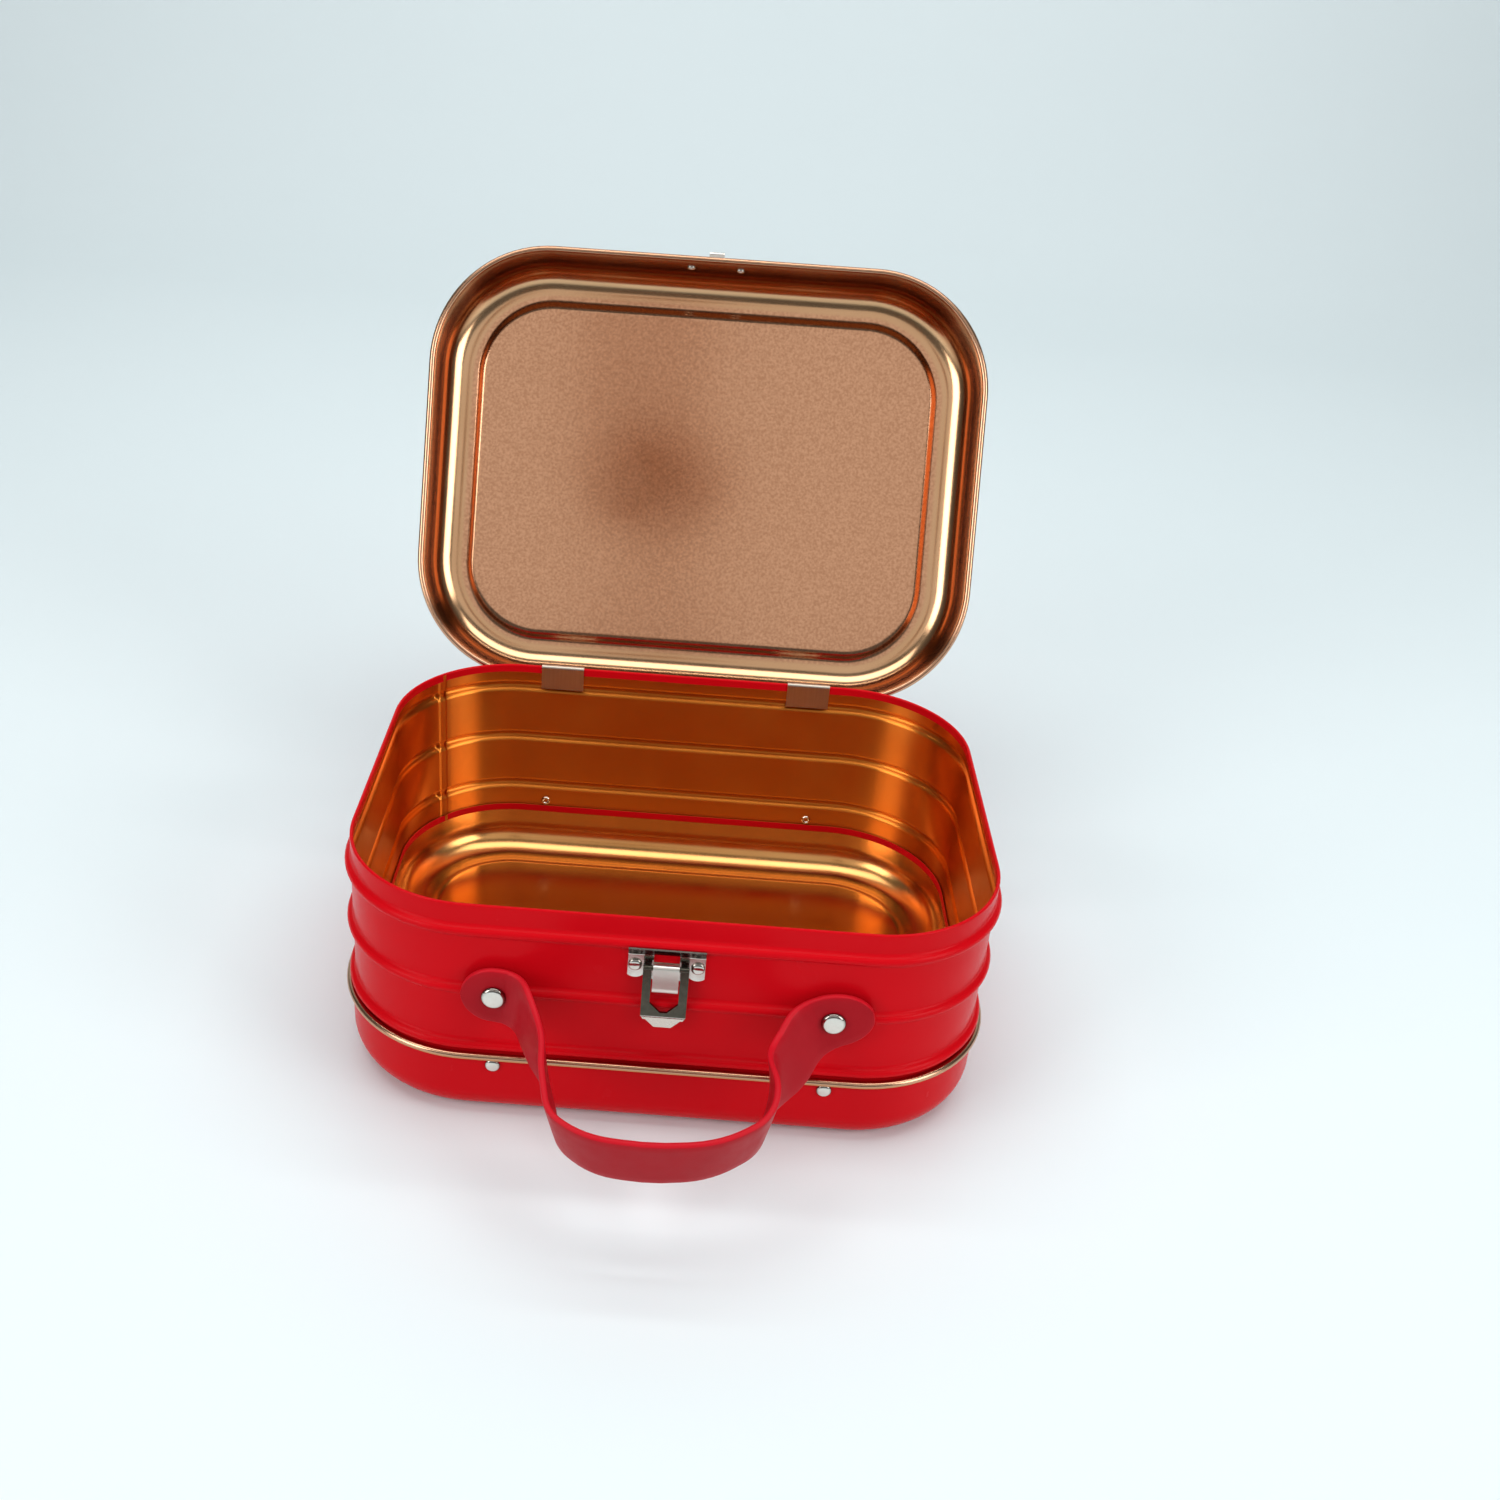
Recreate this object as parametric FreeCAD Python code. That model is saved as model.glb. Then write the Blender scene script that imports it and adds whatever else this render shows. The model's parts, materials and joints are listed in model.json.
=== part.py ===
import FreeCAD, Part
import math
import os

# Metal lunch box: a beaded side wall band, a pressed bottom pan, a hinged lid of the same
# pressing, two strap hinges, a hasp latch and a flexible strap handle.
#
# Frame: millimetres, +Z up, +Y to the rear (hinge side), origin at the centre of the face
# that the box stands on. The lid is modelled open, leaning back on its hinges.
#
# Sheet-metal sections are drawn in (u, v): u is the distance outside the side wall's outer
# face, v is the height. A section is a path of moves that is given the sheet's thickness.

# ---- driving dimensions, in millimetres and degrees ----
BODY_WIDTH = 200.0
BODY_DEPTH = 152.7
CORNER_RADIUS = 41.0
SHEET = 0.4

RIM_HEIGHT = 79.6
WALL_BOTTOM = 16.3
BEAD_HEIGHTS = (28.4, 49.5, 70.6)
BEAD_HALF_WIDTH = 2.7
BEAD_PROUD = 1.8
HEM_BEND_RADIUS = 0.35
HEM_LENGTH = 2.3

PAN_CLEARANCE = 0.6
PAN_DEPTH = 24.8
PAN_EDGE_RADIUS = 10.4
FOOT_RING_INSET = 11.1
PANEL_RISE = 0.8
PANEL_SLOPE_WIDTH = 4.6
PANEL_LAP = 2.0
CURL_RADIUS = 0.95
CURL_TURN = 270.0

LID_RIM_CLOSED = 73.35
LID_OPEN_ANGLE = 115.5

HINGE_SPACING = 90.8
HINGE_WIDTH = 15.5
HINGE_AXIS_OUT = 2.9
HINGE_AXIS_HEIGHT = 71.9
HINGE_SHEET = 0.4
HINGE_PIN_RADIUS = 0.6
HINGE_PIN_FIT = 0.05
HINGE_MIDDLE_KNUCKLE = 5.0
HINGE_KNUCKLE_GAP = 0.2
HINGE_KNUCKLE_TURN = 290.0
HINGE_BEND_RADIUS = 1.0
HINGE_CLEAR_REACH = 5.0
HINGE_CLEAR_BELOW_BEND = 0.3
HINGE_PIN_OVERHANG = 0.15
HINGE_PIN_HEAD_LENGTH = 0.4
HINGE_PIN_HEAD_STEP = 0.35
BODY_LEAF_INSIDE_BOTTOM = 70.7
BODY_LEAF_BEND_START = 75.2
LID_LEAF_TOP = 88.0
LID_LEAF_BEND_START = 75.6
LID_NOTCH_TOP = 80.8
LID_NOTCH_SIDE_GAP = 1.1
LID_NOTCH_OUT = 6.0
LID_NOTCH_IN = 2.0

LATCH_PIVOT_OUT = 2.85
LATCH_PIVOT_HEIGHT = 64.2
LATCH_PLATE_BOTTOM = 58.4
LATCH_PLATE_SHEET = 0.5
LATCH_PLATE_BEND = 66.8
LATCH_PLATE_BEND_RADIUS = 0.8
LATCH_PLATE_WIDTH = 22.6
LATCH_FLANGE_TURN = 33.0
LATCH_FLANGE_LENGTH = 3.9
LATCH_SHOULDER_BOTTOM = 63.0
LATCH_STEM_WIDTH = 12.4
LATCH_EAR_RADIUS = 3.2
LATCH_EAR_HEIGHT = 61.9
LATCH_RIVET_SPACING = 18.3
LATCH_RIVET_HEIGHT = 63.4
LATCH_SLOT_WIDTH = 7.6
LATCH_SLOT_BOTTOM = 64.6
LATCH_SLOT_TOP = 67.6

TONGUE_WIDTH = 7.6
TONGUE_SHEET = 0.4
TONGUE_FOOT = 61.1
TONGUE_RISE = 1.0
TONGUE_BEND_RADIUS = 0.6
TONGUE_BAR_FIT = 0.05
TONGUE_ROLL_END = 78.0
TONGUE_FACE_RADIUS = 50.0
TONGUE_FACE_TURN = 7.0
TONGUE_TIP_RADIUS = 2.5
TONGUE_TIP_TURN = 40.0

HASP_WIDTH = 13.4
HASP_SHEET = 0.8
HASP_BAR_STEP = 0.35
HASP_WINDOW_WIDTH = 8.4
HASP_WINDOW_SIDE_BOTTOM = 51.4
HASP_WINDOW_BOTTOM = 48.1
HASP_WINDOW_TIP_WIDTH = 2.0
HASP_BEND_HEIGHT = 46.6
HASP_LIP_BEND_RADIUS = 1.0
HASP_LIP_TURN = 38.0
HASP_LIP_LENGTH = 2.6
HASP_LIP_BASE_WIDTH = 10.4
HASP_LIP_TIP_WIDTH = 1.8
HASP_CORNER = 0.8

CATCH_WIDTH = 22.0
CATCH_BOTTOM = 75.0
CATCH_TOP = 84.4
CATCH_RIVET_HEIGHT = 81.9
CATCH_HOOK_WIDTH = 5.5
CATCH_HOOK_REACH = 4.4
CATCH_HOOK_TOP = 77.8
CATCH_HOOK_LIFT = 1.4
CATCH_HOOK_BEND = 0.8
CATCH_CORNER_RADIUS = 1.2

PAN_RIVET_SPACING = 101.0
PAN_RIVET_HEIGHT = 21.2

STRAP_WIDTH = 19.5
STRAP_THICKNESS = 2.0
STRAP_RIVET_SPACING = 100.0
STRAP_HEIGHT = 49.8
STRAP_DROOP = 16.0
STRAP_FLAT_END = 43.0
STRAP_ROOT_END = (41.3, 3.2)
STRAP_ROOT_RADIUS = 3.0
STRAP_BOW_REACH = 8.0
STRAP_BOW_LINE = [
    (-38.6, STRAP_BOW_REACH), (-33.2, 20.8), (-28.2, 42.6), (-19.0, 49.8), (0.0, 51.4),
    (17.6, 48.6), (31.2, 39.2), (33.0, 19.0), (39.1, STRAP_BOW_REACH),
]
STRAP_BOW_RADII = [30.0, 11.0, 26.0, 70.0, 34.0, 14.0, 24.0]
WASHER_RADIUS = 4.5
WASHER_THICKNESS = 0.5

# Head and shank radii, dome height, and the radius and height of the upset tail.
PAN_RIVET = {"head": 2.3, "dome": 1.2, "shank": 1.2, "tail": 1.8, "tail_height": 0.7}
LATCH_RIVET = {"head": 2.05, "dome": 1.0, "shank": 1.0, "tail": 1.6, "tail_height": 0.7}
CATCH_RIVET = {"head": 1.8, "dome": 0.8, "shank": 1.0, "tail": 1.6, "tail_height": 0.7}
HANDLE_RIVET = {"head": 3.7, "dome": 1.5, "shank": 1.5, "tail": 2.4, "tail_height": 0.8}
RIVET_WELL_SHARE = 0.55
RIVET_FIT = 0.03
CONTACT_GAP = 0.05
HOLE_REACH = 4.0
CUT_REACH = 12.0
CUT_INSIDE = 1.0

# ---- sizes that follow ----
FRONT = -BODY_DEPTH / 2
REAR = BODY_DEPTH / 2
CORNER_X = BODY_WIDTH / 2 - CORNER_RADIUS
CORNER_Y = BODY_DEPTH / 2 - CORNER_RADIUS
SKIRT_OUTSIDE = PAN_CLEARANCE + SHEET
HINGE_Y = REAR + HINGE_AXIS_OUT
LATCH_PIVOT_Y = FRONT - LATCH_PIVOT_OUT
STRAP_Y = FRONT - BEAD_PROUD - CONTACT_GAP - STRAP_THICKNESS / 2
HINGE_CENTRES = {"left": -HINGE_SPACING / 2, "right": HINGE_SPACING / 2}
HASP_BAR_RADIUS = HASP_SHEET / 2 + HASP_BAR_STEP
KNUCKLE_RADIUS = HINGE_PIN_RADIUS + HINGE_PIN_FIT + HINGE_SHEET / 2

X_AXIS = FreeCAD.Vector(1, 0, 0)
Y_AXIS = FreeCAD.Vector(0, 1, 0)
Z_AXIS = FreeCAD.Vector(0, 0, 1)
ORIGIN = FreeCAD.Vector(0, 0, 0)


# ---- sections ----
def direction(degrees):
    """Unit vector of a heading in the section plane."""
    return math.cos(math.radians(degrees)), math.sin(math.radians(degrees))


def strip_section(start, heading, moves, thickness):
    """Closed outline, as (u, v) edges, of a path of lines and arcs with a sheet's thickness.

    A move is ("line", length) or ("arc", radius, turn), with a left turn positive.
    """
    sides = {1: [], -1: []}
    u, v = start
    for move in moves:
        along = direction(heading)
        left = direction(heading + 90)
        if move[0] == "line":
            length = move[1]
            for side, run in sides.items():
                off = side * thickness / 2
                first = (u + off * left[0], v + off * left[1])
                last = (first[0] + length * along[0], first[1] + length * along[1])
                run.append((first, None, last))
            u, v = u + length * along[0], v + length * along[1]
        else:
            radius, turn = move[1], move[2]
            way = 1 if turn > 0 else -1
            centre = (u + way * radius * left[0], v + way * radius * left[1])
            spokes = [direction(heading - way * 90 + turn * part) for part in (0, 0.5, 1)]
            for side, run in sides.items():
                reach = radius - way * side * thickness / 2
                run.append(tuple((centre[0] + reach * s[0], centre[1] + reach * s[1]) for s in spokes))
            u, v = centre[0] + radius * spokes[2][0], centre[1] + radius * spokes[2][1]
            heading += turn
    there = sides[1]
    back = [(last, middle, first) for first, middle, last in reversed(sides[-1])]
    start_cap = (back[-1][2], None, there[0][0])
    end_cap = (there[-1][2], None, back[0][0])
    return there + [end_cap] + back + [start_cap]


def section_face(outline, place):
    """Face of an outline whose (u, v) points are placed in space by a function."""
    edges = []
    for first, middle, last in outline:
        if middle is None:
            edges.append(Part.makeLine(place(*first), place(*last)))
        else:
            edges.append(Part.Arc(place(*first), place(*middle), place(*last)).toShape())
    return Part.Face(Part.Wire(edges))


def roll_lead(start, centre, bend_radius, roll_radius, upward=False):
    """Turn and length that lead a vertical strip through a bend to the tangent of a roll."""
    across = centre[0] - start[0] - bend_radius
    down = centre[1] - start[1]
    if upward:
        down = -down
    reach = math.hypot(across, down)
    turn = math.atan2(down, across) + math.acos((roll_radius - bend_radius) / reach)
    across_left = across + bend_radius - bend_radius * (1 - math.cos(turn))
    down_left = down + bend_radius * math.sin(turn)
    length = across_left * math.sin(turn) - down_left * math.cos(turn)
    return math.degrees(turn), length


def across_x(outline, low_x, high_x, wall):
    """Solid of a section that runs along X at the front (wall -1) or the rear (wall +1)."""
    face = section_face(outline, lambda u, v: FreeCAD.Vector(low_x, wall * (REAR + u), v))
    return face.extrude(FreeCAD.Vector(high_x - low_x, 0, 0))


def pair(spacing):
    """X places of two alike things, one on each side of the middle."""
    return -spacing / 2, spacing / 2


def mirrored(points):
    """Outline from its right half, listed from top to bottom, and the left half that mirrors it."""
    return points + [(-x, z) for x, z in reversed(points)]


def box(low, high):
    size = [b - a for a, b in zip(low, high)]
    return Part.makeBox(*size, FreeCAD.Vector(*low))


def front_prism(points):
    """Solid of an outline of (x, z) points that reaches out past the front wall and a little inside."""
    low_y = FRONT - CUT_REACH
    corners = [FreeCAD.Vector(x, low_y, z) for x, z in points]
    face = Part.Face(Part.makePolygon(corners + corners[:1]))
    return face.extrude(FreeCAD.Vector(0, CUT_REACH + CUT_INSIDE, 0))


def rod(x, y, z, radius, length, axis):
    return Part.makeCylinder(radius, length, FreeCAD.Vector(x, y, z), axis)


def round_plate(inset, low_z, thickness):
    """Flat plate with the body's rounded-rectangle outline, drawn in by an inset."""
    radius = CORNER_RADIUS - inset
    half_x, half_y = CORNER_X + radius, CORNER_Y + radius
    plate = box((-half_x, -half_y, low_z), (half_x, half_y, low_z + thickness))
    uprights = [e for e in plate.Edges if abs(e.Length - thickness) < 1e-6]
    return plate.makeFillet(radius, uprights)


def ring(outline):
    """Solid of a section carried all round the body: four straight runs and four corners."""
    x, y = CORNER_X, CORNER_Y
    centres = [(x, y), (-x, y), (-x, -y), (x, -y)]
    runs = [2 * CORNER_X, 2 * CORNER_Y]
    face = section_face(outline, lambda u, v: FreeCAD.Vector(CORNER_RADIUS + u, 0, v))
    pieces = []
    for quarter, (x, y) in enumerate(centres):
        centre = FreeCAD.Vector(x, y, 0)
        first = face.copy()
        first.rotate(ORIGIN, Z_AXIS, 90 * quarter)
        first.translate(centre)
        pieces.append(first.revolve(centre, Z_AXIS, 90))
        last = first.copy()
        last.rotate(centre, Z_AXIS, 90)
        along = FreeCAD.Vector(*direction(90 * quarter + 180), 0)
        pieces.append(last.extrude(along * runs[quarter % 2]))
    return pieces[0].fuse(pieces[1:]).removeSplitter()


# ---- fasteners ----
def rivet(kind, x, y, z, out, grip):
    """Rivet whose domed head sits at (x, y, z) and points along Y, to the rear where out is +1."""
    sphere = (kind["head"] ** 2 + kind["dome"] ** 2) / (2 * kind["dome"])
    ball = Part.makeSphere(sphere, FreeCAD.Vector(0, 0, kind["dome"] - sphere))
    head = ball.common(rod(0, 0, 0, kind["head"], kind["dome"], Z_AXIS))
    shank = rod(0, 0, -grip, kind["shank"], grip, Z_AXIS)
    tail_end = -grip - kind["tail_height"]
    tail = rod(0, 0, tail_end, kind["tail"], kind["tail_height"], Z_AXIS)
    well = rod(0, 0, tail_end, kind["shank"] * RIVET_WELL_SHARE, kind["tail_height"], Z_AXIS)
    solid = head.fuse([shank, tail]).cut(well).removeSplitter()
    solid.rotate(ORIGIN, X_AXIS, -90 * out)
    solid.translate(FreeCAD.Vector(x, y, z))
    return solid


def rivet_hole(kind, x, z, wall=-1):
    """Cutter for a rivet's hole through everything near the front (-1) or the rear (+1) wall."""
    radius = kind["shank"] + RIVET_FIT
    return rod(x, wall * REAR - HOLE_REACH, z, radius, 2 * HOLE_REACH, Y_AXIS)


def pan_rivet_holes():
    xs = pair(PAN_RIVET_SPACING)
    return [rivet_hole(PAN_RIVET, x, PAN_RIVET_HEIGHT, wall) for x in xs for wall in (-1, 1)]


# ---- side wall ----
def bead_moves():
    """Outward swage made of three tangent arcs."""
    lean = 2 * math.degrees(math.atan(BEAD_PROUD / BEAD_HALF_WIDTH))
    radius = BEAD_HALF_WIDTH / (2 * math.sin(math.radians(lean)))
    return [("arc", radius, -lean), ("arc", radius, 2 * lean), ("arc", radius, -lean)]


def side_wall():
    hem_edge = HEM_BEND_RADIUS + SHEET / 2
    level = WALL_BOTTOM + hem_edge
    start = (-SHEET / 2 - 2 * HEM_BEND_RADIUS, level + HEM_LENGTH)
    moves = [("line", HEM_LENGTH), ("arc", HEM_BEND_RADIUS, 180)]
    for height in BEAD_HEIGHTS:
        moves.append(("line", height - BEAD_HALF_WIDTH - level))
        moves += bead_moves()
        level = height + BEAD_HALF_WIDTH
    moves.append(("line", RIM_HEIGHT - hem_edge - level))
    moves += [("arc", HEM_BEND_RADIUS, 180), ("line", HEM_LENGTH)]
    wall = ring(strip_section(start, -90, moves, SHEET))
    holes = pan_rivet_holes()
    holes += [rivet_hole(LATCH_RIVET, x, LATCH_RIVET_HEIGHT) for x in pair(LATCH_RIVET_SPACING)]
    holes += [rivet_hole(HANDLE_RIVET, x, STRAP_HEIGHT) for x in pair(STRAP_RIVET_SPACING)]
    return wall.cut(holes)


# ---- bottom pan and lid ----
def pan_pressing():
    """Stepped panel, foot ring, rounded edge, upright wall and outward curl."""
    slope_start = FOOT_RING_INSET + PANEL_SLOPE_WIDTH
    lean = 2 * math.degrees(math.atan(PANEL_RISE / PANEL_SLOPE_WIDTH))
    slope_radius = PANEL_SLOPE_WIDTH / (2 * math.sin(math.radians(lean)))
    edge_radius = PAN_EDGE_RADIUS - SHEET / 2
    wall_line = PAN_CLEARANCE + SHEET / 2
    moves = [
        ("line", PANEL_LAP),
        ("arc", slope_radius, -lean),
        ("arc", slope_radius, lean),
        ("line", FOOT_RING_INSET + wall_line - edge_radius),
        ("arc", edge_radius, 90),
        ("line", PAN_DEPTH - PAN_EDGE_RADIUS),
        ("arc", CURL_RADIUS, -CURL_TURN),
    ]
    start = (-slope_start - PANEL_LAP, PANEL_RISE + SHEET / 2)
    edge = ring(strip_section(start, 0, moves, SHEET))
    panel = round_plate(slope_start + PANEL_LAP, PANEL_RISE, SHEET)
    return edge.fuse(panel).removeSplitter()


def bottom_pan():
    return pan_pressing().cut(pan_rivet_holes())


def open_lid(shape):
    """Swing a shape that was modelled on the closed lid to the open rest pose."""
    swung = shape.copy()
    swung.rotate(FreeCAD.Vector(0, HINGE_Y, HINGE_AXIS_HEIGHT), X_AXIS, -LID_OPEN_ANGLE)
    return swung


def lid_shell():
    lid = pan_pressing()
    lid.rotate(ORIGIN, X_AXIS, 180)
    lid.translate(FreeCAD.Vector(0, 0, LID_RIM_CLOSED + PAN_DEPTH))
    half_notch = HINGE_WIDTH / 2 + LID_NOTCH_SIDE_GAP
    cuts = [rivet_hole(CATCH_RIVET, x, CATCH_RIVET_HEIGHT) for x in pair(LATCH_RIVET_SPACING)]
    for x in HINGE_CENTRES.values():
        low = (x - half_notch, REAR - LID_NOTCH_IN, LID_RIM_CLOSED - LID_NOTCH_IN)
        cuts.append(box(low, (x + half_notch, REAR + LID_NOTCH_OUT, LID_NOTCH_TOP)))
    return open_lid(lid.cut(cuts))


# ---- hinges ----
def leaf(x, section, bend_start, cleared):
    """Leaf across the hinge's width, cleared over some X spans for the other leaf's knuckles."""
    solid = across_x(section, x - HINGE_WIDTH / 2, x + HINGE_WIDTH / 2, 1)
    low_z = HINGE_AXIS_HEIGHT - HINGE_CLEAR_REACH
    high_y = REAR + HINGE_AXIS_OUT + HINGE_CLEAR_REACH
    high_z = bend_start - HINGE_CLEAR_BELOW_BEND
    return solid.cut([box((x + low, REAR, low_z), (x + high, high_y, high_z)) for low, high in cleared])


def knuckle_moves(start, straight):
    """Straight down, a bend and a lead to the axis, and the roll round the pin."""
    axis = (HINGE_AXIS_OUT, HINGE_AXIS_HEIGHT)
    turn, length = roll_lead(start, axis, HINGE_BEND_RADIUS, KNUCKLE_RADIUS)
    return [
        ("line", straight),
        ("arc", HINGE_BEND_RADIUS, turn),
        ("line", length),
        ("arc", KNUCKLE_RADIUS, HINGE_KNUCKLE_TURN),
    ]


def hinge_body_leaf(x):
    """Strap folded over the rim from inside, then rolled round the pin as the middle knuckle."""
    fold_radius = HEM_BEND_RADIUS + SHEET / 2 + CONTACT_GAP + HINGE_SHEET / 2
    rim_line = -SHEET / 2 - HEM_BEND_RADIUS
    fold_height = RIM_HEIGHT - HEM_BEND_RADIUS - SHEET / 2
    moves = [("line", fold_height - BODY_LEAF_INSIDE_BOTTOM), ("arc", fold_radius, -180)]
    outside = (rim_line + fold_radius, BODY_LEAF_BEND_START)
    moves += knuckle_moves(outside, fold_height - BODY_LEAF_BEND_START)
    start = (rim_line - fold_radius, BODY_LEAF_INSIDE_BOTTOM)
    half = HINGE_MIDDLE_KNUCKLE / 2
    cleared = [(-HINGE_WIDTH, -half), (half, HINGE_WIDTH)]
    return leaf(x, strip_section(start, 90, moves, HINGE_SHEET), BODY_LEAF_BEND_START, cleared)


def hinge_lid_leaf(x):
    """Plate on the outside of the lid's rear skirt, rolled round the pin as the outer knuckles."""
    plate_line = SKIRT_OUTSIDE + HINGE_SHEET / 2
    moves = knuckle_moves((plate_line, LID_LEAF_BEND_START), LID_LEAF_TOP - LID_LEAF_BEND_START)
    section = strip_section((plate_line, LID_LEAF_TOP), -90, moves, HINGE_SHEET)
    half = HINGE_MIDDLE_KNUCKLE / 2 + HINGE_KNUCKLE_GAP
    return open_lid(leaf(x, section, LID_LEAF_BEND_START, [(-half, half)]))


def hinge_pin(x):
    """Pin with a small upset head at each end."""
    half = HINGE_WIDTH / 2 + HINGE_PIN_OVERHANG
    head_radius = HINGE_PIN_RADIUS + HINGE_PIN_HEAD_STEP
    shaft = rod(x - half, HINGE_Y, HINGE_AXIS_HEIGHT, HINGE_PIN_RADIUS, 2 * half, X_AXIS)
    heads = [
        rod(x + offset, HINGE_Y, HINGE_AXIS_HEIGHT, head_radius, HINGE_PIN_HEAD_LENGTH, X_AXIS)
        for offset in (-half - HINGE_PIN_HEAD_LENGTH, half)
    ]
    return shaft.fuse(heads).removeSplitter()


# ---- latch ----
def latch_base_plate():
    """Plate riveted to the front, its top edge bent out over the upper bead."""
    moves = [
        ("line", LATCH_PLATE_BEND - LATCH_PLATE_BOTTOM),
        ("arc", LATCH_PLATE_BEND_RADIUS, -LATCH_FLANGE_TURN),
        ("line", LATCH_FLANGE_LENGTH),
    ]
    start = (CONTACT_GAP + LATCH_PLATE_SHEET / 2, LATCH_PLATE_BOTTOM)
    strip = strip_section(start, 90, moves, LATCH_PLATE_SHEET)
    sheet = across_x(strip, *pair(LATCH_PLATE_WIDTH), -1)
    top = LATCH_PLATE_BEND + 2 * LATCH_FLANGE_LENGTH
    shoulder, stem, slot = [
        front_prism(mirrored([(width / 2, high), (width / 2, low)]))
        for width, low, high in (
            (LATCH_PLATE_WIDTH, LATCH_SHOULDER_BOTTOM, top),
            (LATCH_STEM_WIDTH, LATCH_PLATE_BOTTOM, LATCH_PLATE_BEND),
            (LATCH_SLOT_WIDTH, LATCH_SLOT_BOTTOM, LATCH_SLOT_TOP),
        )
    ]
    ears = [
        rod(x, FRONT - CUT_REACH, LATCH_EAR_HEIGHT, LATCH_EAR_RADIUS, CUT_REACH, Y_AXIS)
        for x in pair(LATCH_RIVET_SPACING)
    ]
    holes = [rivet_hole(LATCH_RIVET, x, LATCH_RIVET_HEIGHT) for x in pair(LATCH_RIVET_SPACING)]
    return sheet.common(shoulder.fuse([stem] + ears)).cut([slot] + holes).removeSplitter()


def latch_spring_tongue():
    """Hairpin spring: up the plate, over the hasp's bar and down in front of it."""
    start = (CONTACT_GAP + LATCH_PLATE_SHEET + TONGUE_SHEET / 2, TONGUE_FOOT)
    bend = (start[0], TONGUE_FOOT + TONGUE_RISE)
    bar = (LATCH_PIVOT_OUT, LATCH_PIVOT_HEIGHT)
    roll = HASP_BAR_RADIUS + TONGUE_BAR_FIT + TONGUE_SHEET / 2
    turn, length = roll_lead(bend, bar, TONGUE_BEND_RADIUS, roll, upward=True)
    moves = [
        ("line", TONGUE_RISE),
        ("arc", TONGUE_BEND_RADIUS, -turn),
        ("line", length),
        ("arc", roll, turn - 90 - TONGUE_ROLL_END),
        ("arc", TONGUE_FACE_RADIUS, -TONGUE_FACE_TURN),
        ("arc", TONGUE_TIP_RADIUS, -TONGUE_TIP_TURN),
    ]
    return across_x(strip_section(start, 90, moves, TONGUE_SHEET), *pair(TONGUE_WIDTH), -1)


def latch_hasp():
    """Slotted leaf on its own hinge bar, with a pointed thumb lip bent outwards."""
    moves = [
        ("line", LATCH_PIVOT_HEIGHT - HASP_BEND_HEIGHT),
        ("arc", HASP_LIP_BEND_RADIUS, HASP_LIP_TURN),
        ("line", HASP_LIP_LENGTH),
    ]
    strip = strip_section((LATCH_PIVOT_OUT, LATCH_PIVOT_HEIGHT), -90, moves, HASP_SHEET)
    sheet = across_x(strip, *pair(HASP_WIDTH), -1)
    half = HASP_WIDTH / 2
    lip_start = HASP_BEND_HEIGHT - HASP_CORNER
    lip_end = lip_start - HASP_LIP_LENGTH
    outline = front_prism(mirrored([
        (half, LATCH_PIVOT_HEIGHT),
        (half, HASP_BEND_HEIGHT),
        (half - HASP_CORNER, lip_start),
        (HASP_LIP_BASE_WIDTH / 2, lip_start),
        (HASP_LIP_TIP_WIDTH / 2, lip_end),
    ]))
    window_half = HASP_WINDOW_WIDTH / 2
    window = front_prism(mirrored([
        (window_half, LATCH_PIVOT_HEIGHT),
        (window_half, HASP_WINDOW_SIDE_BOTTOM),
        (HASP_WINDOW_TIP_WIDTH / 2, HASP_WINDOW_BOTTOM),
    ]))
    bar = rod(-half, LATCH_PIVOT_Y, LATCH_PIVOT_HEIGHT, HASP_BAR_RADIUS, HASP_WIDTH, X_AXIS)
    return sheet.common(outline).cut(window).fuse(bar).removeSplitter()


def lid_catch():
    """Plate on the lid's front skirt with a hook that the hasp's window drops over."""
    sheet = LATCH_PLATE_SHEET
    plate_y = FRONT - SKIRT_OUTSIDE
    low_x, high_x = pair(CATCH_WIDTH)
    plate = box((low_x, plate_y - sheet, CATCH_BOTTOM), (high_x, plate_y, CATCH_TOP))
    uprights = [e for e in plate.Edges if abs(e.Length - sheet) < 1e-6]
    plate = plate.makeFillet(CATCH_CORNER_RADIUS, uprights)
    hook_line = CATCH_BOTTOM + CATCH_HOOK_LIFT + sheet / 2
    moves = [
        ("line", CATCH_HOOK_REACH - CATCH_HOOK_BEND),
        ("arc", CATCH_HOOK_BEND, 90),
        ("line", CATCH_HOOK_TOP - hook_line - CATCH_HOOK_BEND),
    ]
    hook = across_x(strip_section((SKIRT_OUTSIDE, hook_line), 0, moves, sheet), *pair(CATCH_HOOK_WIDTH), -1)
    holes = [rivet_hole(CATCH_RIVET, x, CATCH_RIVET_HEIGHT) for x in pair(LATCH_RIVET_SPACING)]
    return open_lid(plate.fuse(hook).cut(holes).removeSplitter())


# ---- handle ----
def strap_path(points, radii):
    """Start, heading and moves of a line through points with its inner corners rounded."""
    runs = [(b[0] - a[0], b[1] - a[1]) for a, b in zip(points, points[1:])]
    bearings = [math.degrees(math.atan2(rise, run)) for run, rise in runs]
    turns = [(after - before + 180) % 360 - 180 for before, after in zip(bearings, bearings[1:])]
    trims = [r * math.tan(math.radians(abs(turn) / 2)) for r, turn in zip(radii, turns)]
    moves = []
    for i, run in enumerate(runs):
        before = trims[i - 1] if i > 0 else 0.0
        after = trims[i] if i < len(trims) else 0.0
        moves.append(("line", math.hypot(*run) - before - after))
        if i < len(turns):
            moves.append(("arc", radii[i], turns[i]))
    return points[0], bearings[0], moves


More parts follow.
